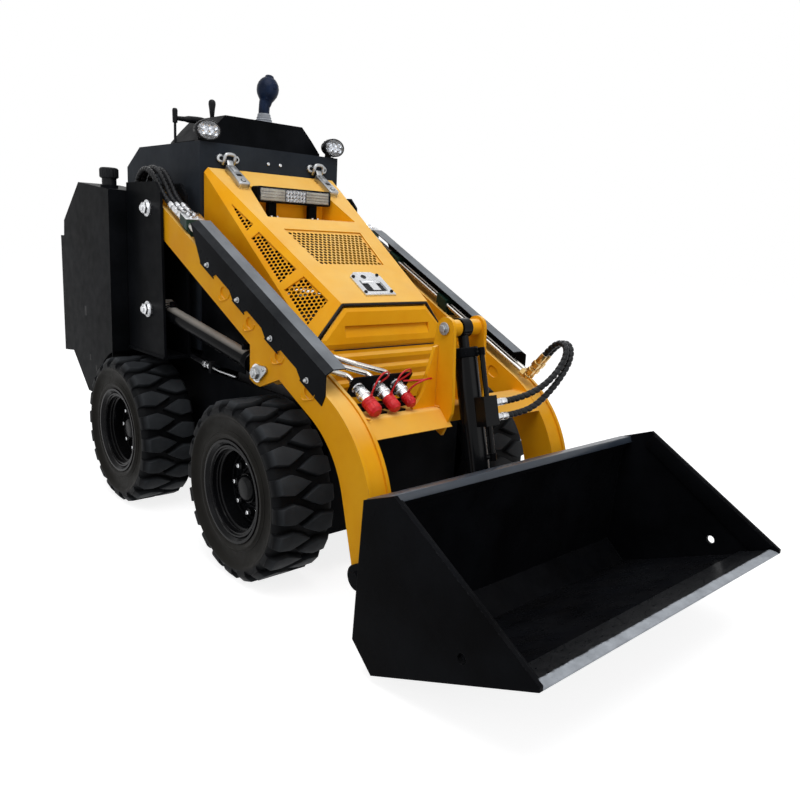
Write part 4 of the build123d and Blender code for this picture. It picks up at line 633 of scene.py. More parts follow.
def tyre_shape():
    shape = Shape()
    casing = CASING + [(-x, r) for x, r in reversed(CASING[:-1])] + CASING[:1]
    shape.lathe(Vector(), X, casing, 120)
    for k in range(LUGS):
        for half, shift in ((-1, 0), (1, 0.5)):
            shape.absorb(lug(half, (k + shift) * 2 * math.pi / LUGS))
    # a thin raised ring on each sidewall
    for side, _ in SIDES:
        shape.lathe(Vector(), X * side, [(0, 194.2), (1.6, 195.1), (1.6, 196.9), (0, 197.8), (0, 194.2)], 96, 96.5)
    return shape


tyre_mesh = tyre_shape().mesh("tyre_front_right_piece", TYRE, 40)
WHEELS = [(f"{end}_{side_name}", side, station) for end, station in (("front", 0.0), ("rear", 900.0))
          for side, side_name in SIDES]
for wheel, side, station in WHEELS:
    tyre = add_object(f"tyre_{wheel}_piece", tyre_mesh)
    tyre.matrix_world = Matrix.Translation(at(side * WHEEL_X, station, AXLE_Z))
    bpy.context.view_layer.update()
    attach(tyre, f"wheel_{wheel}")
    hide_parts(f"tyre_{wheel}")

# stepped rings, a hub, openings and nuts over the plain dish
DISC_X = WHEEL_X + TYRE_HALF - 6 - 88
# raised rings as (along the axle, radius, height, half-width)
RIM_RINGS = ((74, 146, 5.0, 5.0), (58, 134, 3.0, 4.0), (3, 119, 6.0, 5.0), (1, 68, 5.0, 6.0))
for wheel, side, station in WHEELS:
    axis, hub = X * side, at(side * DISC_X, station, AXLE_Z)
    rings, nuts = Shape(), Shape()
    for along, r, high, wide in RIM_RINGS:
        rings.lathe(hub, axis, [(0, r - wide), (high, r - wide * 0.55), (high, r + wide * 0.55), (0, r + wide),
                                (0, r - wide)], 72, along)
    rings.lathe(hub, axis, [(0, 46), (6, 44), (14, 36), (16, 28), (16, 0)], 48, 25.5)
    for spoke in spokes(8, Z, Y, 0.5):
        rings.lathe(hub + spoke * 106 * MM, axis, [(0, 12), (3, 10.5), (3, 7), (0, 6)], 20)
    for spoke in spokes(8, Y, Z):
        spot = hub + spoke * 85 * MM
        rings.lathe(spot, axis, [(0, 17.8), (3, 17.2), (3, 14)], 24)
        rings.hexagon(spot, axis, 14.6, 16, 3)
        nuts.lathe(spot, axis, [(0, 8), (6, 8), (7.8, 6), (7.8, 0)], 16, 18)
    rings.done(f"rim_rings_{wheel}", RIM, f"wheel_{wheel}")
    nuts.done(f"wheel_nuts_{wheel}", ZINC, f"wheel_{wheel}")

# ------------ hood grilles
HOOD_FRONT, HOOD_RUN = -66.0, 719.0
CROWN_FRONT_Z, CROWN_RISE, CREASE_RISE = 894.0, 440.0, 550.0
CROWN_LENGTH = math.hypot(HOOD_RUN, CROWN_RISE)
CROWN_UP, CREASE_UP = (Vector((0, math.cos(a), math.sin(a))) for a in
                       (math.atan2(rise, HOOD_RUN) for rise in (CROWN_RISE, CREASE_RISE)))
CROWN_NORMAL = Vector((0, -CROWN_UP.z, CROWN_UP.y))
SHEET_THICK, SHEET_LAP = 1.5, 9.0
GRILLE_SINK = 6.0


def on_crown(x, up, out):
    """A point of the hood's top face: x across, up its slope, out from it (mm)."""
    return at(x, HOOD_FRONT, CROWN_FRONT_Z) + (CROWN_UP * up + CROWN_NORMAL * out) * MM


def crown_plate(shape, corners, out, thick, bevel=0.0, segments=2, x=0.0, up=0.0):
    """A plate on the hood's top face, from corners (x, up) about a point."""
    shape.prism([on_crown(x + dx, up + du, out) for dx, du in corners], CROWN_NORMAL, thick, bevel, segments)


def inside(point, outline, margin):
    """True where a 2-D point lies in a convex outline, at least a margin from its sides."""
    edges = list(zip(outline, outline[1:] + outline[:1]))
    sign = 1 if sum(a[0] * b[1] - b[0] * a[1] for a, b in edges) > 0 else -1
    for a, b in edges:
        dx, dy = b[0] - a[0], b[1] - a[1]
        if sign * (dx * (point[1] - a[1]) - dy * (point[0] - a[0])) / math.hypot(dx, dy) < margin:
            return False
    return True


def perforated(shape, place, outline, pitch, hole_r, rim, start=(0.0, 0.0)):
    """Sheet metal with staggered round holes, made of six-sided cells, in mm on a plane."""
    bm = bmesh.new()
    cell_r, row_step = pitch / math.sqrt(3), pitch * math.sqrt(3) / 2
    corners = [(math.sin(k * math.pi / 3), math.cos(k * math.pi / 3)) for k in range(6)]
    cell = []
    for a, b in zip(corners, corners[1:] + corners[:1]):
        cell += [a, ((a[0] + b[0]) / 2, (a[1] + b[1]) / 2)]
    hole = [(math.sin(k * math.pi / 6) * hole_r, math.cos(k * math.pi / 6) * hole_r) for k in range(12)]
    left, right = min(p[0] for p in outline), max(p[0] for p in outline)
    low, high = min(p[1] for p in outline), max(p[1] for p in outline)
    known = {}

    def vertex(x, y):
        key = (round(x, 2), round(y, 2))
        if key not in known:
            known[key] = bm.verts.new(place(x, y))
        return known[key]

    for row in range(-2, int((high - low + SHEET_LAP) / row_step) + 2):
        for column in range(-2, int((right - left + SHEET_LAP) / pitch) + 2):
            x = left + start[0] + (column + 0.5 * (row % 2)) * pitch
            y = low + start[1] + row * row_step
            if not inside((x, y), outline, -SHEET_LAP):
                continue
            outer = [vertex(x + dx * cell_r, y + dy * cell_r) for dx, dy in cell]
            if inside((x, y), outline, rim):
                bridge(bm, [outer, [bm.verts.new(place(x + dx, y + dy)) for dx, dy in hole]])
            else:
                bm.faces.new(outer)
    bmesh.ops.recalc_face_normals(bm, faces=bm.faces)
    bmesh.ops.solidify(bm, geom=list(bm.faces), thickness=SHEET_THICK * MM)
    return shape.outward(bm)


CROWN_WINDOW = [(-146.0, 222.7), (146.0, 222.7), (176.0, 439.6), (-176.0, 439.6)]
SIDE_WINDOWS = (
    ((698, 22), (561, 48), (550, 15)),
    ((518, 50), (291, 89), (278, 15), (510, 15)),
    ((250, 96), (113, 119), (74, 20), (244, 16)),
)
crown_mesh, side_mesh = Shape(), Shape()
perforated(crown_mesh, lambda x, y: on_crown(x, y, -GRILLE_SINK), CROWN_WINDOW, 19.0, 7.1, 5.0)
crown_mesh.done("hood_crown_mesh", YELLOW, "hood", 60, "grille_steel", "hood_grille")
for side, _ in SIDES:
    corner = at(side * 307.0, HOOD_FRONT, 766.0)
    to_crown = Vector((-side * 110.5, 0, 128.0))
    outward = CREASE_UP.cross(to_crown).normalized() * side
    across = (to_crown - CREASE_UP * to_crown.dot(CREASE_UP)).normalized()
    for window in SIDE_WINDOWS:
        perforated(side_mesh, lambda a, b: corner + (CREASE_UP * a + across * b - outward * GRILLE_SINK) * MM,
                   window, 16.0, 6.2, 2.0, (7.5, 8.5))
side_mesh.done("hood_side_meshes", YELLOW, "hood", 60, "grille_steel")

muffler = Shape()
muffler.tube(path((-289, 199, 920.8), (-267, 164, 919.6), (-193, 46, 915.7), (-185, 34, 915.3)), 17, 24)
muffler.tube(path((-270, 136, 912), (-262, 140, 860), (-240, 146, 800)), 14, 20)
muffler.done("engine_muffler", CHROME, "chassis")

# ------------ hood trim
seal = Shape()
SEAL_HALF = ((-301.5, 762.0), (-301.0, 764.0), (-193.5, 886.0), (-190.5, 888.2), (0, 888.4))
edge = [at(x, HOOD_FRONT + 1.5, z) for x, z in SEAL_HALF]
edge += [at(-x, HOOD_FRONT + 1.5, z) for x, z in reversed(SEAL_HALF[:-1])]
seal.tube(edge, 5.2, 10)
# a dark line of painted shade drawn along the front cover's face, found by rays from ahead of it, in metres
SHADE_LINE_RAYS, SHADE_LINE_RAY_STEP, RAY_START_Y, SHADE_LINE_Z = 10, 0.0235, -1.2, 0.742
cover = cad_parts["front_cover"]
to_cover = cover.matrix_world.inverted()
shade_line = []
for k in range(-SHADE_LINE_RAYS, SHADE_LINE_RAYS + 1):
    start = to_cover @ Vector((k * SHADE_LINE_RAY_STEP, RAY_START_Y, SHADE_LINE_Z))
    hit, place, _, _ = cover.ray_cast(start, to_cover.to_3x3() @ Y)
    if hit:
        shade_line.append(cover.matrix_world @ place)
if len(shade_line) > 4:
    seal.tube(shade_line, 2.2, 8)
# the seal and the painted shade line are one dark rubber piece
seal.done("hood_seal_and_shade_line", SEAL, "chassis")

screws = Shape()
for x, station in ((-56, 54), (57, 61), (-59, -22), (59, -21)):
    screws.screw(on_crown(x, (station - HOOD_FRONT) * CROWN_LENGTH / HOOD_RUN, 6.2), CROWN_NORMAL, 6.2)
screws.done("hood_lock_screws", PLASTIC, "hood")
tray = Shape()
crown_plate(tray, ((-45, 56), (45, 56), (45, 118), (-45, 118)), 2.35, 0.5)
tray.lathe(on_crown(-12, 139, 6.3), CROWN_NORMAL, [(0, 10.5), (1.2, 10.5), (1.2, 6.5), (0.4, 6), (0.4, 0)], 28)
tray.done("hood_lock_tray", PLASTIC, "hood")
paddle = Shape()
crown_plate(paddle, ((-43, 101), (43, 101), (40, 113), (-38, 113)), 3.2, 4.2, 1.8)
crown_plate(paddle, ((-10, 76), (16, 72), (20, 100), (-4, 101)), 3.0, 3.5, 1.6)
crown_plate(paddle, ((-66, 38), (66, 38), (66, 43), (-66, 43)), 6.35, 1.2, 0.5)
paddle.done("hood_lock_paddle", ZINC, "hood")

LATCH_X, LATCH_TOP = 208.0, 25.0
LATCH_BODY = ((-17, -143), (17, -143), (24, -136), (20, -12), (-20, -12), (-24, -136))
KEEPER_ARCH = ((-21, 652, 1352), (-22, 640, 1362), (-21, 634, 1384), (-9, 634, 1388), (9, 634, 1388), (21, 634, 1384),
               (22, 640, 1362), (21, 652, 1352))
latches, marks, keepers, keeper_bolts = Shape(), Shape(), Shape(), Shape()
for side, _ in SIDES:
    x, tip = side * LATCH_X, CROWN_LENGTH
    crown_plate(latches, LATCH_BODY, 3.6, 21.5, 3.2, 3, x, tip)
    crown_plate(latches, ((-11, -64), (11, -64), (10, -20), (-10, -20)), LATCH_TOP, 3.5, 1.4, x=x, up=tip)
    crown_plate(marks, ((-11, -92), (11, -92), (11, -76), (-11, -76)), LATCH_TOP + 0.15, 0.6, x=x, up=tip)
    button = on_crown(x, tip - 122, LATCH_TOP)
    marks.lathe(button, CROWN_NORMAL, [(0, 10.5), (0.8, 10.5), (0.8, 8.2), (0, 8.2)], 28)
    latches.screw(button, CROWN_NORMAL, 7.8, 5)
    # the hook over the keeper
    hook = [on_crown(x + dx, tip - 30, 8) for dx in (-13, 13)] + [at(x + dx, 640, 1362) for dx in (13, -13)]
    latches.prism(hook, CROWN_NORMAL, 7, 2)
    for dx in (-33, 33):
        keepers.lathe(at(x + dx, 657, 1372), -Y, [(0, 15.5), (9, 15.5), (12, 13.5), (12.5, 11), (12.5, 0)], 32)
        keeper_bolts.screw(at(x + dx, 644.5, 1372), -Y, 6.8, 5)
    plate = ((-33, 1361), (33, 1361), (33, 1383), (-33, 1383))
    keepers.prism([at(x + dx, 657, z) for dx, z in plate], -Y, 9, 2)
    keepers.tube(bent([at(x + dx, station, z) for dx, station, z in KEEPER_ARCH], 4), 7.2, 12)
latches.done("latch_bodies", CAST, "hood")
marks.done("latch_marks", PLASTIC, "hood")
keepers.done("latch_keepers", CAST, "chassis")
keeper_bolts.done("keeper_bolts", PLASTIC, "chassis")

# ------------ light bar
CHIP = [(0, 3.4), (1.6, 3.2), (2.4, 1.8), (2.4, 0)]
Shape().block(at(-160, 493, 1223), at(160, 500, 1271), 1.6).done("light_bar_lens", GLASS, "hood")
ends, leds, reflectors = Shape(), Shape(), Shape()
for x0 in (-156, 50):
    for z in (1226, 1236.5, 1247, 1257.5):
        ends.prism(upright(x0, (496.8, z), (494.4, z + 2.4), (494.4, z + 8), (496.8, z + 10)), X, 106)
for z in (1233.0, 1247.0, 1261.0):
    for k in range(6):
        spot = at(-37.5 + k * 15, 497.5, z)
        reflectors.lathe(spot, -Y, [(0, 2.6), (2.2, 6.6), (2.6, 7), (0.6, 7.2), (-0.4, 3.4), (0, 2.6)], 20)
        leds.lathe(spot, -Y, CHIP, 12)
reflectors.done("light_bar_reflectors", CHROME, "hood")
ends.done("light_bar_ends", BEIGE, "hood")
leds.done("light_bar_leds", PALE, "hood")
bar_bolts = Shape()
for x in (-108, -82, 82, 108):
    bar_bolts.bolt(at(x, 496, 1165.3), Z, 4.2)
bar_bolts.done("light_bar_bolts", ZINC, "hood")

# ------------ work lamps
CASE = [(0, 0), (0, 20), (3, 31), (10, 38), (22, 42.5), (36, 44.5), (38, 46), (48, 46), (50, 45), (50, 41.2),
        (46, 40.2), (44, 0), (0, 0)]
CUP = [(0, 3), (2.4, 9.6), (3, 10.2), (3.4, 10.2), (0.6, 11.2), (0, 11.2), (0, 3)]
LAMP_CHIP = [(0, 3.4), (1.5, 3.2), (2.4, 1.8), (2.4, 0)]
CUPS = [Vector((x, -45, z)) * MM for z in (-12.5, 12.5) for x in (-22.5, 0, 22.5)]
for side, name in SIDES:
    # the round parts are made about the origin, then set in their oval place
    spot = Matrix.Translation(at(side * 292, 692, 1467)) @ Matrix.Diagonal((1.12, 1.0, 0.80, 1))
    case = Shape().lathe(Vector(), -Y, CASE, 56)
    for radial in spokes(18, X, Z):
        across = radial.cross(Y)
        rib = [radial * r * MM - across * 1.2 * MM - Y * along * MM for r, along in
               ((30, 6), (45.2, 26), (45.2, 34), (30, 34))]
        case.prism(rib, across, 2.4)
    case.placed(spot).done(f"lamp_case_{name}", PLASTIC, "chassis", node="work_lamps" if side < 0 else None)
    bowl, chips = Shape(), Shape()
    bowl.lathe(Vector(), -Y, [(44.2, 0), (44.2, 40.1), (45, 40.1), (45, 0)], 48)
    for cup in CUPS:
        bowl.lathe(cup, -Y, CUP, 24)
        chips.lathe(cup, -Y, LAMP_CHIP, 12)
    bowl.placed(spot).done(f"lamp_reflector_{name}", CHROME, "chassis")
    chips.placed(spot).done(f"lamp_chips_{name}", PALE, "chassis")
    lens = Shape().lathe(Vector(), -Y, [(48.4, 0), (48.4, 40.6), (50, 40.6), (51.2, 30), (51.8, 0)], 48)
    lens.placed(spot).done(f"lamp_lens_{name}", GLASS, "chassis")
    bracket = Shape()
    middle = side * 296
    for strip in (((692, 1427.4), (696, 1427.4), (696, 1475), (692, 1475)),
                  ((672, 1427.4), (716, 1427.4), (716, 1431), (672, 1431))):
        bracket.prism(upright(middle - 15, *strip), X, 30, 1)
    bracket.bolt(at(middle, 706, 1431), Z, 6.5)
    bracket.bolt(at(middle, 696, 1466), Y, 6.5)
    bracket.done(f"lamp_bracket_{name}", PLASTIC, "chassis")

# ------------ controls
BELLOWS = [(0, 0), (0, 34), (4, 34.5), (7, 31.5), (11, 33), (16, 28.5), (20, 30), (25, 26), (30, 27), (36, 23.5),
           (38, 0)]
STICK_HEAD = [(0, 0), (0, 20), (6, 22), (18, 25), (30, 33), (42, 40), (56, 44), (72, 44.5), (86, 41), (98, 34),
              (106, 27), (109, 21), (112, 19), (118, 16), (121, 10), (122, 0)]
Shape().lathe(at(24, 770, 1540), Z, BELLOWS, 40).done("joystick_boot", BOOT, "chassis", 60)
handle = Shape().tube(path((24, 770, 1560), (24, 770, 1590), (26, 769, 1620), (31, 768, 1650)), 22.2, 32)
handle.lathe(at(29, 768, 1606), (at(45, 763, 1728) - at(29, 768, 1606)).normalized(), STICK_HEAD, 40)
# a rocker on the head and a trigger below it
handle.block(at(34, 719, 1668), at(54, 727, 1690), 3)
handle.block(at(14, 740, 1628), at(30, 750, 1644), 3)
handle.done("joystick_handle", GRIP, "chassis", 60, node="joystick")

# the crossbar's radius, as (distance, radius)
BAR_SWELL = ((0, 8.5), (36, 9.5), (62, 13.5), (110, 14.5), (140, 12), (158, 8), (162, 3))


def swelling(run, _angle):
    """The crossbar's radius, eased between the points of its table."""
    for (d0, r0), (d1, r1) in zip(BAR_SWELL, BAR_SWELL[1:]):
        if run <= d1:
            t = max(0.0, (run - d0) / (d1 - d0))
            return r0 + (r1 - r0) * t * t * (3 - 2 * t)
    return BAR_SWELL[-1][1]


rods = Shape()
lever = at(-300, 900, 1427)
rods.tube(path((-300, 900, 1427.3), (-300, 900, 1470), (-300, 900, 1515)), 5.2, 14)
rods.lathe(lever, Z, [(0, 13), (4, 13), (5, 11.5), (5, 0)], 24)
rods.lathe(lever, Z, [(0, 6), (1, 9.5), (46, 10.5), (52, 9.5), (55, 6), (56, 0)], 28, 81)
crossbar = path((-300, 900, 1526), (-262, 900, 1527), (-215, 900, 1530), (-170, 900, 1529), (-139, 900, 1526))
rods.tube(bent(crossbar, 4), 1, 20, swelling)
rods.tube(path((-139, 900, 1528), (-139, 900, 1540), (-139, 900, 1552)), 5.8, 14)
rods.lathe(at(-139, 900, 1545), Z, [(0, 0), (0, 7), (2, 8), (34, 11.5), (54, 14.5), (64, 14), (70, 10.5), (73, 5),
                                    (74, 0)], 32)
rods.done("lever_rods", PLASTIC, "chassis", 50, node="levers")

# ------------ couplers, caps and their cords
COUPLER_TILT = math.radians(31.0)
COUPLER_NORMAL = Vector((0, -math.cos(COUPLER_TILT), -math.sin(COUPLER_TILT)))
COUPLER_UP = Vector((0, -math.sin(COUPLER_TILT), math.cos(COUPLER_TILT)))
COUPLER = [(-30, 9.5), (-26, 9.5), (-24, 12), (-7, 12), (-7, 15), (-0.5, 15), (0.3, 19), (3, 19.5), (5, 18.6),
           (5, 16.6), (24, 16.6), (25, 19.4), (27, 20), (31, 20), (32, 18.6), (36, 18.6), (37, 20), (43, 20),
           (44.5, 18.8), (45, 17), (62, 17), (64, 16), (66, 16), (66, 0)]
# grooves round a cap, as (along, how far under its radius)
CAP_GROOVES = ((60, 2.0), (61, 0.6), (64, 0), (70, 0), (71.5, 1.6), (74, 1.6), (75.5, 0), (80, 0.2), (81.5, 1.8),
               (84, 1.8), (85.5, 0.4))
# the cap's rounded end, as (from its end, how far under its radius)
CAP_NOSE = ((-4, 1.0), (-1, 2.4), (1, 5.5), (2, 6.5), (6, 8))
CAPS = ((-340.0, 22.0, 108.0), (-262.0, 20.0, 104.0), (-190.0, 18.0, 96.0))


def on_coupler(x, forward, up=0.0):
    return at(x, -340.0, 676.0) + (COUPLER_NORMAL * forward + COUPLER_UP * up) * MM


couplers, caps = Shape(), Shape()
for x, cap_r, cap_end in CAPS:
    origin = on_coupler(x, 0)
    couplers.lathe(origin, COUPLER_NORMAL, COUPLER, 48)
    couplers.hexagon(origin, COUPLER_NORMAL, 15, 15, -23)
    couplers.hexagon(origin, COUPLER_NORMAL, 19.2, 17.5, 5.2)
    for radial in spokes(24, X, COUPLER_UP):
        couplers.tube([on_coupler(x, along) + radial * 19.8 * MM for along in (37.5, 42.5)], 1.1, 6)
    profile = [(60, 17.4)] + [(along, cap_r - under) for along, under in CAP_GROOVES]
    profile += [(cap_end + along, cap_r - under) for along, under in CAP_NOSE]
    caps.lathe(origin, COUPLER_NORMAL, profile + [(cap_end + 6, 0), (66.2, 0), (66.2, 17.4), (60, 17.4)], 48)
    for radial in spokes(14, X, COUPLER_UP, 0.5):
        caps.tube([on_coupler(x, along) + radial * r * MM for along, r in
                   ((86.5, cap_r - 0.9), (cap_end - 3, cap_r - 1.5))], 1.2, 6)
    # the tab that carries the cap's cord
    tab = ((-5, 62, cap_r - 2), (5, 62, cap_r - 2), (4, 60, cap_r + 7), (-4, 60, cap_r + 7))
    caps.prism([on_coupler(x + dx, along, up) for dx, along, up in tab], COUPLER_NORMAL, 5, 1)
couplers.done("coupler_bodies", ZINC, "arms", node="couplers")
caps.done("coupler_cap_set", RED, "arms", 40, node="coupler_caps")

# each cap's cord: its length and its route as (x, forward, up) on the couplers' plate
CAP_CORDS = (
    (0.180, ((-340, 62, 29), (-342, 60, 60), (-322, 48, 92), (-285, 36, 88), (-262, 26, 56), (-272, 16, 28),
             (-266, 12, 21))),
    (0.193, ((-262, 62, 27), (-262, 62, 60), (-246, 50, 90), (-205, 40, 94), (-178, 30, 66), (-190, 18, 32),
             (-193, 12, 20))),
    (0.213, ((-190, 62, 25), (-186, 66, 50), (-150, 70, 72), (-108, 60, 62), (-100, 38, 36), (-130, 20, 20),
             (-168, 8, 13))),
)
for number, (length, route) in enumerate(CAP_CORDS, 1):
    cord(f"cap_cord_{number}", [on_coupler(*p) for p in route], RED, 5.6, 2, 10, 60, "arms")

# ------------ tube clamps and fittings
ARM_DIR = Vector((0, 1, ARM_SLOPE)).normalized()
ARM_NORMAL = X.cross(ARM_DIR)
CLAMP_STATION, CLAMP_LIFT, PLATE_THICK = 540.0, 50.4, 3.2
plates, plate_bolts = Shape(), Shape()
for side, _ in SIDES:
    plates.prism([on_arm(side * x, CLAMP_STATION + along, CLAMP_LIFT) for x, along in
                  ((374, -24), (450, -24), (450, 24), (374, 24))], ARM_NORMAL, PLATE_THICK, 0.8)
    for x in (400, 424):
        for along in (-13, 13):
            foot = on_arm(side * x, CLAMP_STATION + along, CLAMP_LIFT)
            plate_bolts.bolt(foot + ARM_NORMAL * PLATE_THICK * MM, ARM_NORMAL, 5.8)
plates.done("clamp_plates", ZINC, "arms")
plate_bolts.done("clamp_bolts", ZINC, "arms")

tube_ends, foot_ends, elbows = Shape(), Shape(), Shape()
for x, _, _, _ in BOOM_HOSES:
    tube_end, foot = on_arm(x, 571), at(x, *HOSE_FOOT)
    tube_ends.hexagon(tube_end, ARM_DIR, 13.5, 18, 2)
    tube_ends.hexagon(tube_end, ARM_DIR, 14.2, 20, 28)
    tube_ends.lathe(tube_end, ARM_DIR, [(0, 11.6), (2, 12.4), (26, 12.4), (27, 11.8), (30, 11.8), (31, 12.4),
                                        (52, 12.4), (57, 11), (58, 10.4)], 28, 50)
    foot_ends.hexagon(foot, Z, 15, 14)
    foot_ends.lathe(foot, Z, [(0, 11.6), (2, 12.4), (30, 12.4), (33, 10.9)], 28, 14)
foot_ends.done("manifold_fittings", ZINC, "chassis")
tube_ends.done("hose_end_fittings", ZINC, "arms")

BALL_R = 12.8
ball = [(BALL_R * (1 - math.cos(a)), BALL_R * math.sin(a)) for a in (math.pi * k / 10 for k in range(10))]
for x, _, _, _ in TILT_HOSES:
    elbow, tip = on_arm(x, ELBOW_STATION), at(x, *ELBOW_TIP)
    way, span = (tip - elbow).normalized(), (tip - elbow).length / MM
    elbows.lathe(elbow, Z, ball + [(BALL_R * 2, 0)], 20, -BALL_R)
    elbows.hexagon(elbow, ARM_DIR, 15, 20, 8)
    elbows.lathe(elbow, way, [(0, 10.2), (span / 2, 10.2)], 24, 6)
    elbows.hexagon(elbow, way, 15.2, 18, 18)
    elbows.lathe(elbow, way, [(0, 11.4), (3, 12.6), (7, 12.6), (9, 11.4)], 28, 38)
    elbows.hexagon(elbow, way, 16, 21, 49)
    elbows.lathe(elbow, way, [(0, 11.5), (2, 12.2), (span - 84, 12.2), (span - 74, 11.2)], 28, 72)
elbows.done("elbow_fittings", BRASS, "arms")

# ------------ cylinder fittings
# (station, z) of the arm's pivot and of the lift cylinder's two ends; the tilt cylinder's foot
ARM_PIVOT, LIFT_FOOT, LIFT_EYE, TILT_FOOT = (791, 1173), (799, 792), (27, 667), (-558, 338)
TILT_UNIT = Vector((0, 0.2425, 0.970)).normalized()
TILT_FORWARD = Vector((0, -TILT_UNIT.z, TILT_UNIT.y))
TILT_GLAND = math.hypot(128.0, 512.0) - 64
PORT_FORWARD = 52


def on_tilt(x, along, forward=0.0):
    return at(x, *TILT_FOOT) + (TILT_UNIT * along + TILT_FORWARD * forward) * MM


valve_parts, tilt_gland = Shape(), Shape()
for along in (284.0, 238.0):
    port = on_tilt(0, along, PORT_FORWARD)
    valve_parts.lathe(port, X, [(0, 14.5), (3, 14.5), (3, 12.4), (24, 12.4)], 28, 41.5)
    valve_parts.hexagon(port, X, 15.8, 17, 45)
    valve_parts.lathe(port, X, [(0, 10.4), (4, 11.8), (14, 11.8), (15, 11.2), (17, 11.2), (18, 11.8), (36, 11.8),
                                (41, 10.6)], 28, 63)
valve_parts.done("valve_block_fittings", ZINC, "tilt_barrel")
tilt_gland.lathe(on_tilt(0, TILT_GLAND - 30), TILT_UNIT, [
    (0, 38.5), (2, 42.2), (6, 42.8), (24, 42.8), (30, 41.5), (31, 38), (31, 34), (27, 34), (27, 38.5), (0, 38.5)], 56)
for radial in spokes(4, X, TILT_FORWARD, 0.5):
    tilt_gland.lathe(on_tilt(0, TILT_GLAND - 15), radial, [(0, 4.2), (1.2, 3.6), (1.2, 2), (0, 2)], 14, 42.5)
for along in (46, 60):
    tilt_gland.lathe(on_tilt(0, along), TILT_UNIT, [(0, 36.8), (3, 39.2), (6, 39.2), (9, 36.8), (0, 36.8)], 48)
for port in (448, 118):
    tilt_gland.lathe(on_tilt(20, port - 12, PORT_FORWARD), TILT_UNIT, [(0, 8), (0, 11.5), (24, 11.5), (24, 8)], 6)
tilt_gland.done("tilt_gland", BLACK, "tilt_barrel")

lift_glands = Shape()
for side, _ in SIDES:
    foot, eye = upright(side * 410, LIFT_FOOT, LIFT_EYE)
    way, gland_end = (eye - foot).normalized(), (eye - foot).length / MM - 96
    up = way.cross(X).normalized()
    up = up if up.z > 0 else -up
    lift_glands.lathe(foot, way, [(0, 31), (2, 35.4), (24, 35.6), (30, 34.5), (31, 30), (31, 24), (34, 22.5),
                                  (34, 19.6), (26, 19.6), (26, 31), (0, 31)], 48, gland_end - 30)
    for along in (58, 72):
        lift_glands.lathe(foot, way, [(0, 29.8), (3, 32), (6, 32), (9, 29.8)], 40, along)
    for along in (86, gland_end - 60):
        port = foot + way * along * MM
        lift_glands.lathe(port, up, [(0, 12), (12, 12), (13, 11), (13, 0)], 24, 26)
        lift_glands.hexagon(port, up, 12.5, 10, 39)
lift_glands.done("lift_glands", BLACK, "lift_barrels")

# ------------ pivot bolts, cover bolts and pocket lips
pivots, pin_bolts, cover_bolts, lips = Shape(), Shape(), Shape(), Shape()
EAR = ((44, 684), (26, 693), (-18, 696), (-30, 688), (-30, 678), (6, 646), (27, 641), (47, 652))
# a pressed lip below a pocket in the arm's side, as (along, up) about the pocket's place
LIP_BEND = ((-44, 4), (-45, -8), (-38, -16), (-22, -18), (8, -18), (22, -15), (28, -6))
for side, _ in SIDES:
    axis = X * side
    for spot in upright(side * 473, ARM_PIVOT, LIFT_FOOT):
        pivots.lathe(spot, axis, [(0, 27), (2.5, 27), (3.4, 26), (3.4, 0)], 40)
        pivots.hexagon(spot, axis, 23.5, 14, 3)
        pivots.lathe(spot, axis, [(0, 12.5), (5, 12.5), (7, 11), (7, 0)], 28, 16)
    pin = at(side * 461, *LIFT_EYE)
    pin_bolts.prism(upright(side * 450.5, *EAR), axis, 10, 2.5)
    pin_bolts.screw(at(side * 460.5, -16, 685), axis, 5.8, 4)
    pin_bolts.hexagon(pin, axis, 20.5, 12)
    pin_bolts.lathe(pin, axis, [(0, 10), (3, 10), (4.5, 8.5), (4.5, 0)], 24, 11)
    # the clevis pin's end plate and bolt
    clevis = at(side * 79, -430, 850)
    pin_bolts.lathe(clevis, axis, [(0, 20), (2.5, 20), (3.2, 19.2), (3.2, 0)], 36)
    pin_bolts.hexagon(clevis, axis, 12.5, 9, 3)
    for station in (355, 154, -46, -243):
        spot = on_arm(side * 453, station, -17)
        cover_bolts.bolt(spot, axis, 7.2, 7)
        cover_bolts.lathe(spot, axis, [(0, 5.6), (2.4, 5), (4, 3), (4.6, 0)], 20, 8)
    for station, level in ((240, 899), (80, 817), (-89, 735), (-255, 652)):
        bend = ((station - 0.96 * a + 0.28 * b, level + 0.28 * a + 0.96 * b) for a, b in LIP_BEND)
        lips.tube(bent(upright(side * 450.4, *bend), 4), 2.8, 10)
pivots.done("tower_pivot_bolts", ZINC, "chassis")
pin_bolts.done("arm_pin_bolts", CAST, "arms")
cover_bolts.done("cover_bolts", CAST, "arms")
lips.done("pocket_lips", YELLOW, "arms", 60)

# ------------ bucket trim and weld beads
BEAD_STEP = 3.4


def ripples(run, _angle):
    return 0.86 + 0.14 * abs(math.sin(run / BEAD_STEP * math.pi / 2))


def bead(shape, a, b, r):
    """A weld bead: a row of small ripples between two points."""
    count = max(4, int((b - a).length / (BEAD_STEP * MM)))
    return shape.tube([a.lerp(b, k / count) for k in range(count + 1)], r, 8, ripples)


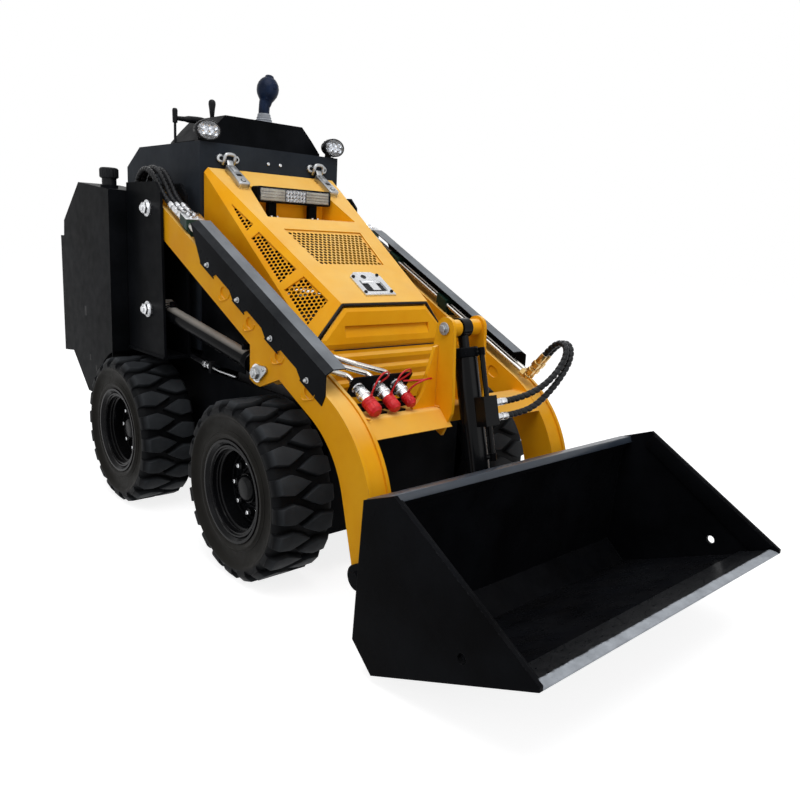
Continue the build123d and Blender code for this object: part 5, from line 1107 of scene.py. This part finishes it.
cutters, rail, bucket_welds, arm_welds = Shape(), Shape(), Shape(), Shape()
CUTTER_BACK = Vector((0, 266, -459)).normalized()
INNER_PATH = [(-694, 470), (-671, 96), (-745, 34), (-1120, 184)]
for side, _ in SIDES:
    top, tip = path((side * 576, -806, 512), (side * 576, -1236, 262))
    cutters.prism([top, tip, tip + CUTTER_BACK * 0.050 + Y * 0.030, top + CUTTER_BACK * 0.050], X * -side, 7, 1.6)
    seam = upright(side * 574.5, *INNER_PATH)
    for a, b in zip(seam, seam[1:]):
        bead(bucket_welds, a, b, 3.5)
    for a, b, r in (((369, -352, 602), (369, -440, 602), 3.2), ((77, -346, 604), (77, -428, 604), 3.2),
                    ((78, -404, 790), (78, -404, 640), 3.0)):
        bead(arm_welds, at(side * a[0], *a[1:]), at(side * b[0], *b[1:]), r)
# the bucket's top rail, coloured with a painted reflection
rail.prism(upright(-576, (-684, 479.5), (-720, 486), (-727, 466), (-690, 460)), X, 1152, 1.5)
cutters.done("side_cutters", BLACK, "bucket")
rail.done("bucket_top_rail", RAIL_REFLECTION, "bucket")
bucket_welds.done("bucket_welds", BLACK, "bucket", 50)
arm_welds.done("arm_welds", YELLOW, "arms", 50)

# ------------ side tanks, towers, engine and frame
TANK_X = 530.0
TANK_HOLES = ((1290, 735, 22, 40), (1253, 538, 13, 24), (1188, 500, 13, 24))
FILLER_CAP = [(0, 28), (26, 28), (27, 31), (28, 34), (31, 35), (62, 35), (66, 33), (68, 28), (68, 22), (65, 20),
              (65, 0)]
FLANK = ((330, 600), (655, 600), (655, 1085), (560, 1020), (430, 930), (330, 850))
PIPE_RUN = ((800, 640), (720, 627), (640, 614), (580, 607), (562, 605))
joints, openings, filler_caps, dash_bolts = Shape(), Shape(), Shape(), Shape()
flanks, pipes, pipe_ends = Shape(), Shape(), Shape()
for side, _ in SIDES:
    face, axis = side * TANK_X, X * side
    # an upright joint, and punched openings in the tank's side shown as thin near-black blocks of painted shade
    joints.prism(upright(face, (1004, 430), (1009, 430), (1009, 1238), (1004, 1238)), axis, 2.2, 0.8)
    for station, z, wide, high in TANK_HOLES:
        middle, half = at(face, station, z), Vector((0.4, wide / 2, high / 2)) * MM
        openings.block(middle - half, middle + half)
    neck = at(side * 492, 1090, 1258)
    filler_caps.lathe(neck, Z, FILLER_CAP, 64)
    for radial in spokes(20, X, Y):
        filler_caps.tube([neck + (radial * 34.5 + Z * up) * MM for up in (31, 62)], 2.2, 6)
    # a flank behind the hood's side windows, and the pipe that enters the frame
    flanks.prism(upright(side * 313, *FLANK), axis, 3, 0.8)
    run = upright(side * 352, *PIPE_RUN)
    pipes.tube(bent(run, 6), 8.5, 14)
    tip, way = run[-1], (run[-1] - run[-2]).normalized()
    pipe_ends.hexagon(tip, way, 12.5, 20, -10)
    pipe_ends.lathe(tip, way, [(0, 10.4), (22, 10.4), (24, 8.6), (24, 0)], 24, 12)
    pipe_ends.tube([tip + way * 0.036, tip + way * 0.110, tip + way * 0.230 + Z * 0.012], 4.2, 12)
    clip, half = tip + way * 0.050, Vector((10, 8, 22)) * MM
    pipes.block(clip - half, clip + half, 2)
    for z in (1000, 906):
        spot = at(side * 336, 925, z)
        pipe_ends.lathe(spot, -Y, [(0, 9), (14, 9), (15, 11), (30, 11), (31, 8), (44, 8), (44, 0), (0, 0)], 20)
        pipes.tube(upright(side * 336, (990, z + 10), (950, z + 2), (925, z)), 8.5, 12)
for x in (-24, 32):
    dash_bolts.screw(at(x, 657.8, 1371), -Y, 6.6)
joints.done("tank_panels", SATIN, "chassis")
openings.done("tank_hole_shades", HOLE_SHADE, "chassis")
filler_caps.done("filler_cap_pair", PLASTIC, "chassis", node="filler_caps")
dash_bolts.done("dash_bolts", ZINC, "chassis")
flanks.done("engine_flanks", SATIN, "chassis")
pipes.done("frame_pipes", PLASTIC, "chassis")
pipe_ends.done("frame_pipe_fittings", ZINC, "chassis")

# ------------ platform tread
TREAD_ROWS, TREAD_COLUMNS, TREAD_Z = 9, 19, 262.2
tread = Shape()
for row in range(TREAD_ROWS):
    for column in range(TREAD_COLUMNS):
        centre = at(-252 + column * 28, 1346 + row * 27, TREAD_Z)
        long = Vector((9, 9 if (row + column) % 2 else -9, 0)) * MM
        short = Vector((-long.y, long.x, 0)).normalized() * 2.2 * MM
        tread.prism([centre - long, centre + short, centre + long, centre - short], Z, 1.6)
tread.done("platform_tread", SATIN, "platform")


# ------------ floor and light
def build_stage():
    """A pale floor that shows white, a white world, and four soft lamps at a plain level."""
    n = material("floor_white")
    diffuse = n.new("BsdfDiffuse", {"Color": (0.50, 0.50, 0.505)})
    glow = n.new("Emission", {"Color": (1, 1, 1), "Strength": n.seen(0.0, 0.83)})
    both = n.new("AddShader", {0: diffuse.outputs[0], 1: glow.outputs[0]})
    n.feed(n.out, both.outputs[0])
    mesh = bpy.data.meshes.new("floor")
    mesh.from_pydata([(-30, -30, 0), (30, -30, 0), (30, 30, 0), (-30, 30, 0)], [], [(0, 1, 2, 3)])
    mesh.materials.append(n.owner)
    add_object("floor", mesh)

    bpy.context.scene.world = bpy.data.worlds.new("studio")
    n = Nodes(bpy.context.scene.world, "OutputWorld")
    n.feed(n.out, n.new("Background", {"Color": (1, 1, 1), "Strength": n.seen(0.34, 1.0)}).outputs[0])

    for name, place, target, size, power in (
            ("top", (-0.9, -1.3, 4.6), (0, -0.2, 0.7), 4.0, 115.0),
            ("side", (-4.6, -0.4, 2.1), (0, 0.1, 0.6), 4.0, 24.0),
            ("front", (0.6, -5.2, 2.0), (0, -0.4, 0.5), 3.6, 38.0),
            ("back", (2.4, 3.6, 3.4), (0, 0.3, 0.7), 3.0, 45.0)):
        data = bpy.data.lights.new(name, "AREA")
        data.shape = "DISK"
        data.size, data.energy = size, power
        lamp = add_object(name, data)
        lamp.location = place
        lamp.rotation_mode = "QUATERNION"
        lamp.rotation_quaternion = (Vector(target) - Vector(place)).to_track_quat("-Z", "Y")


build_stage()
bpy.context.scene.view_settings.view_transform = "Standard"
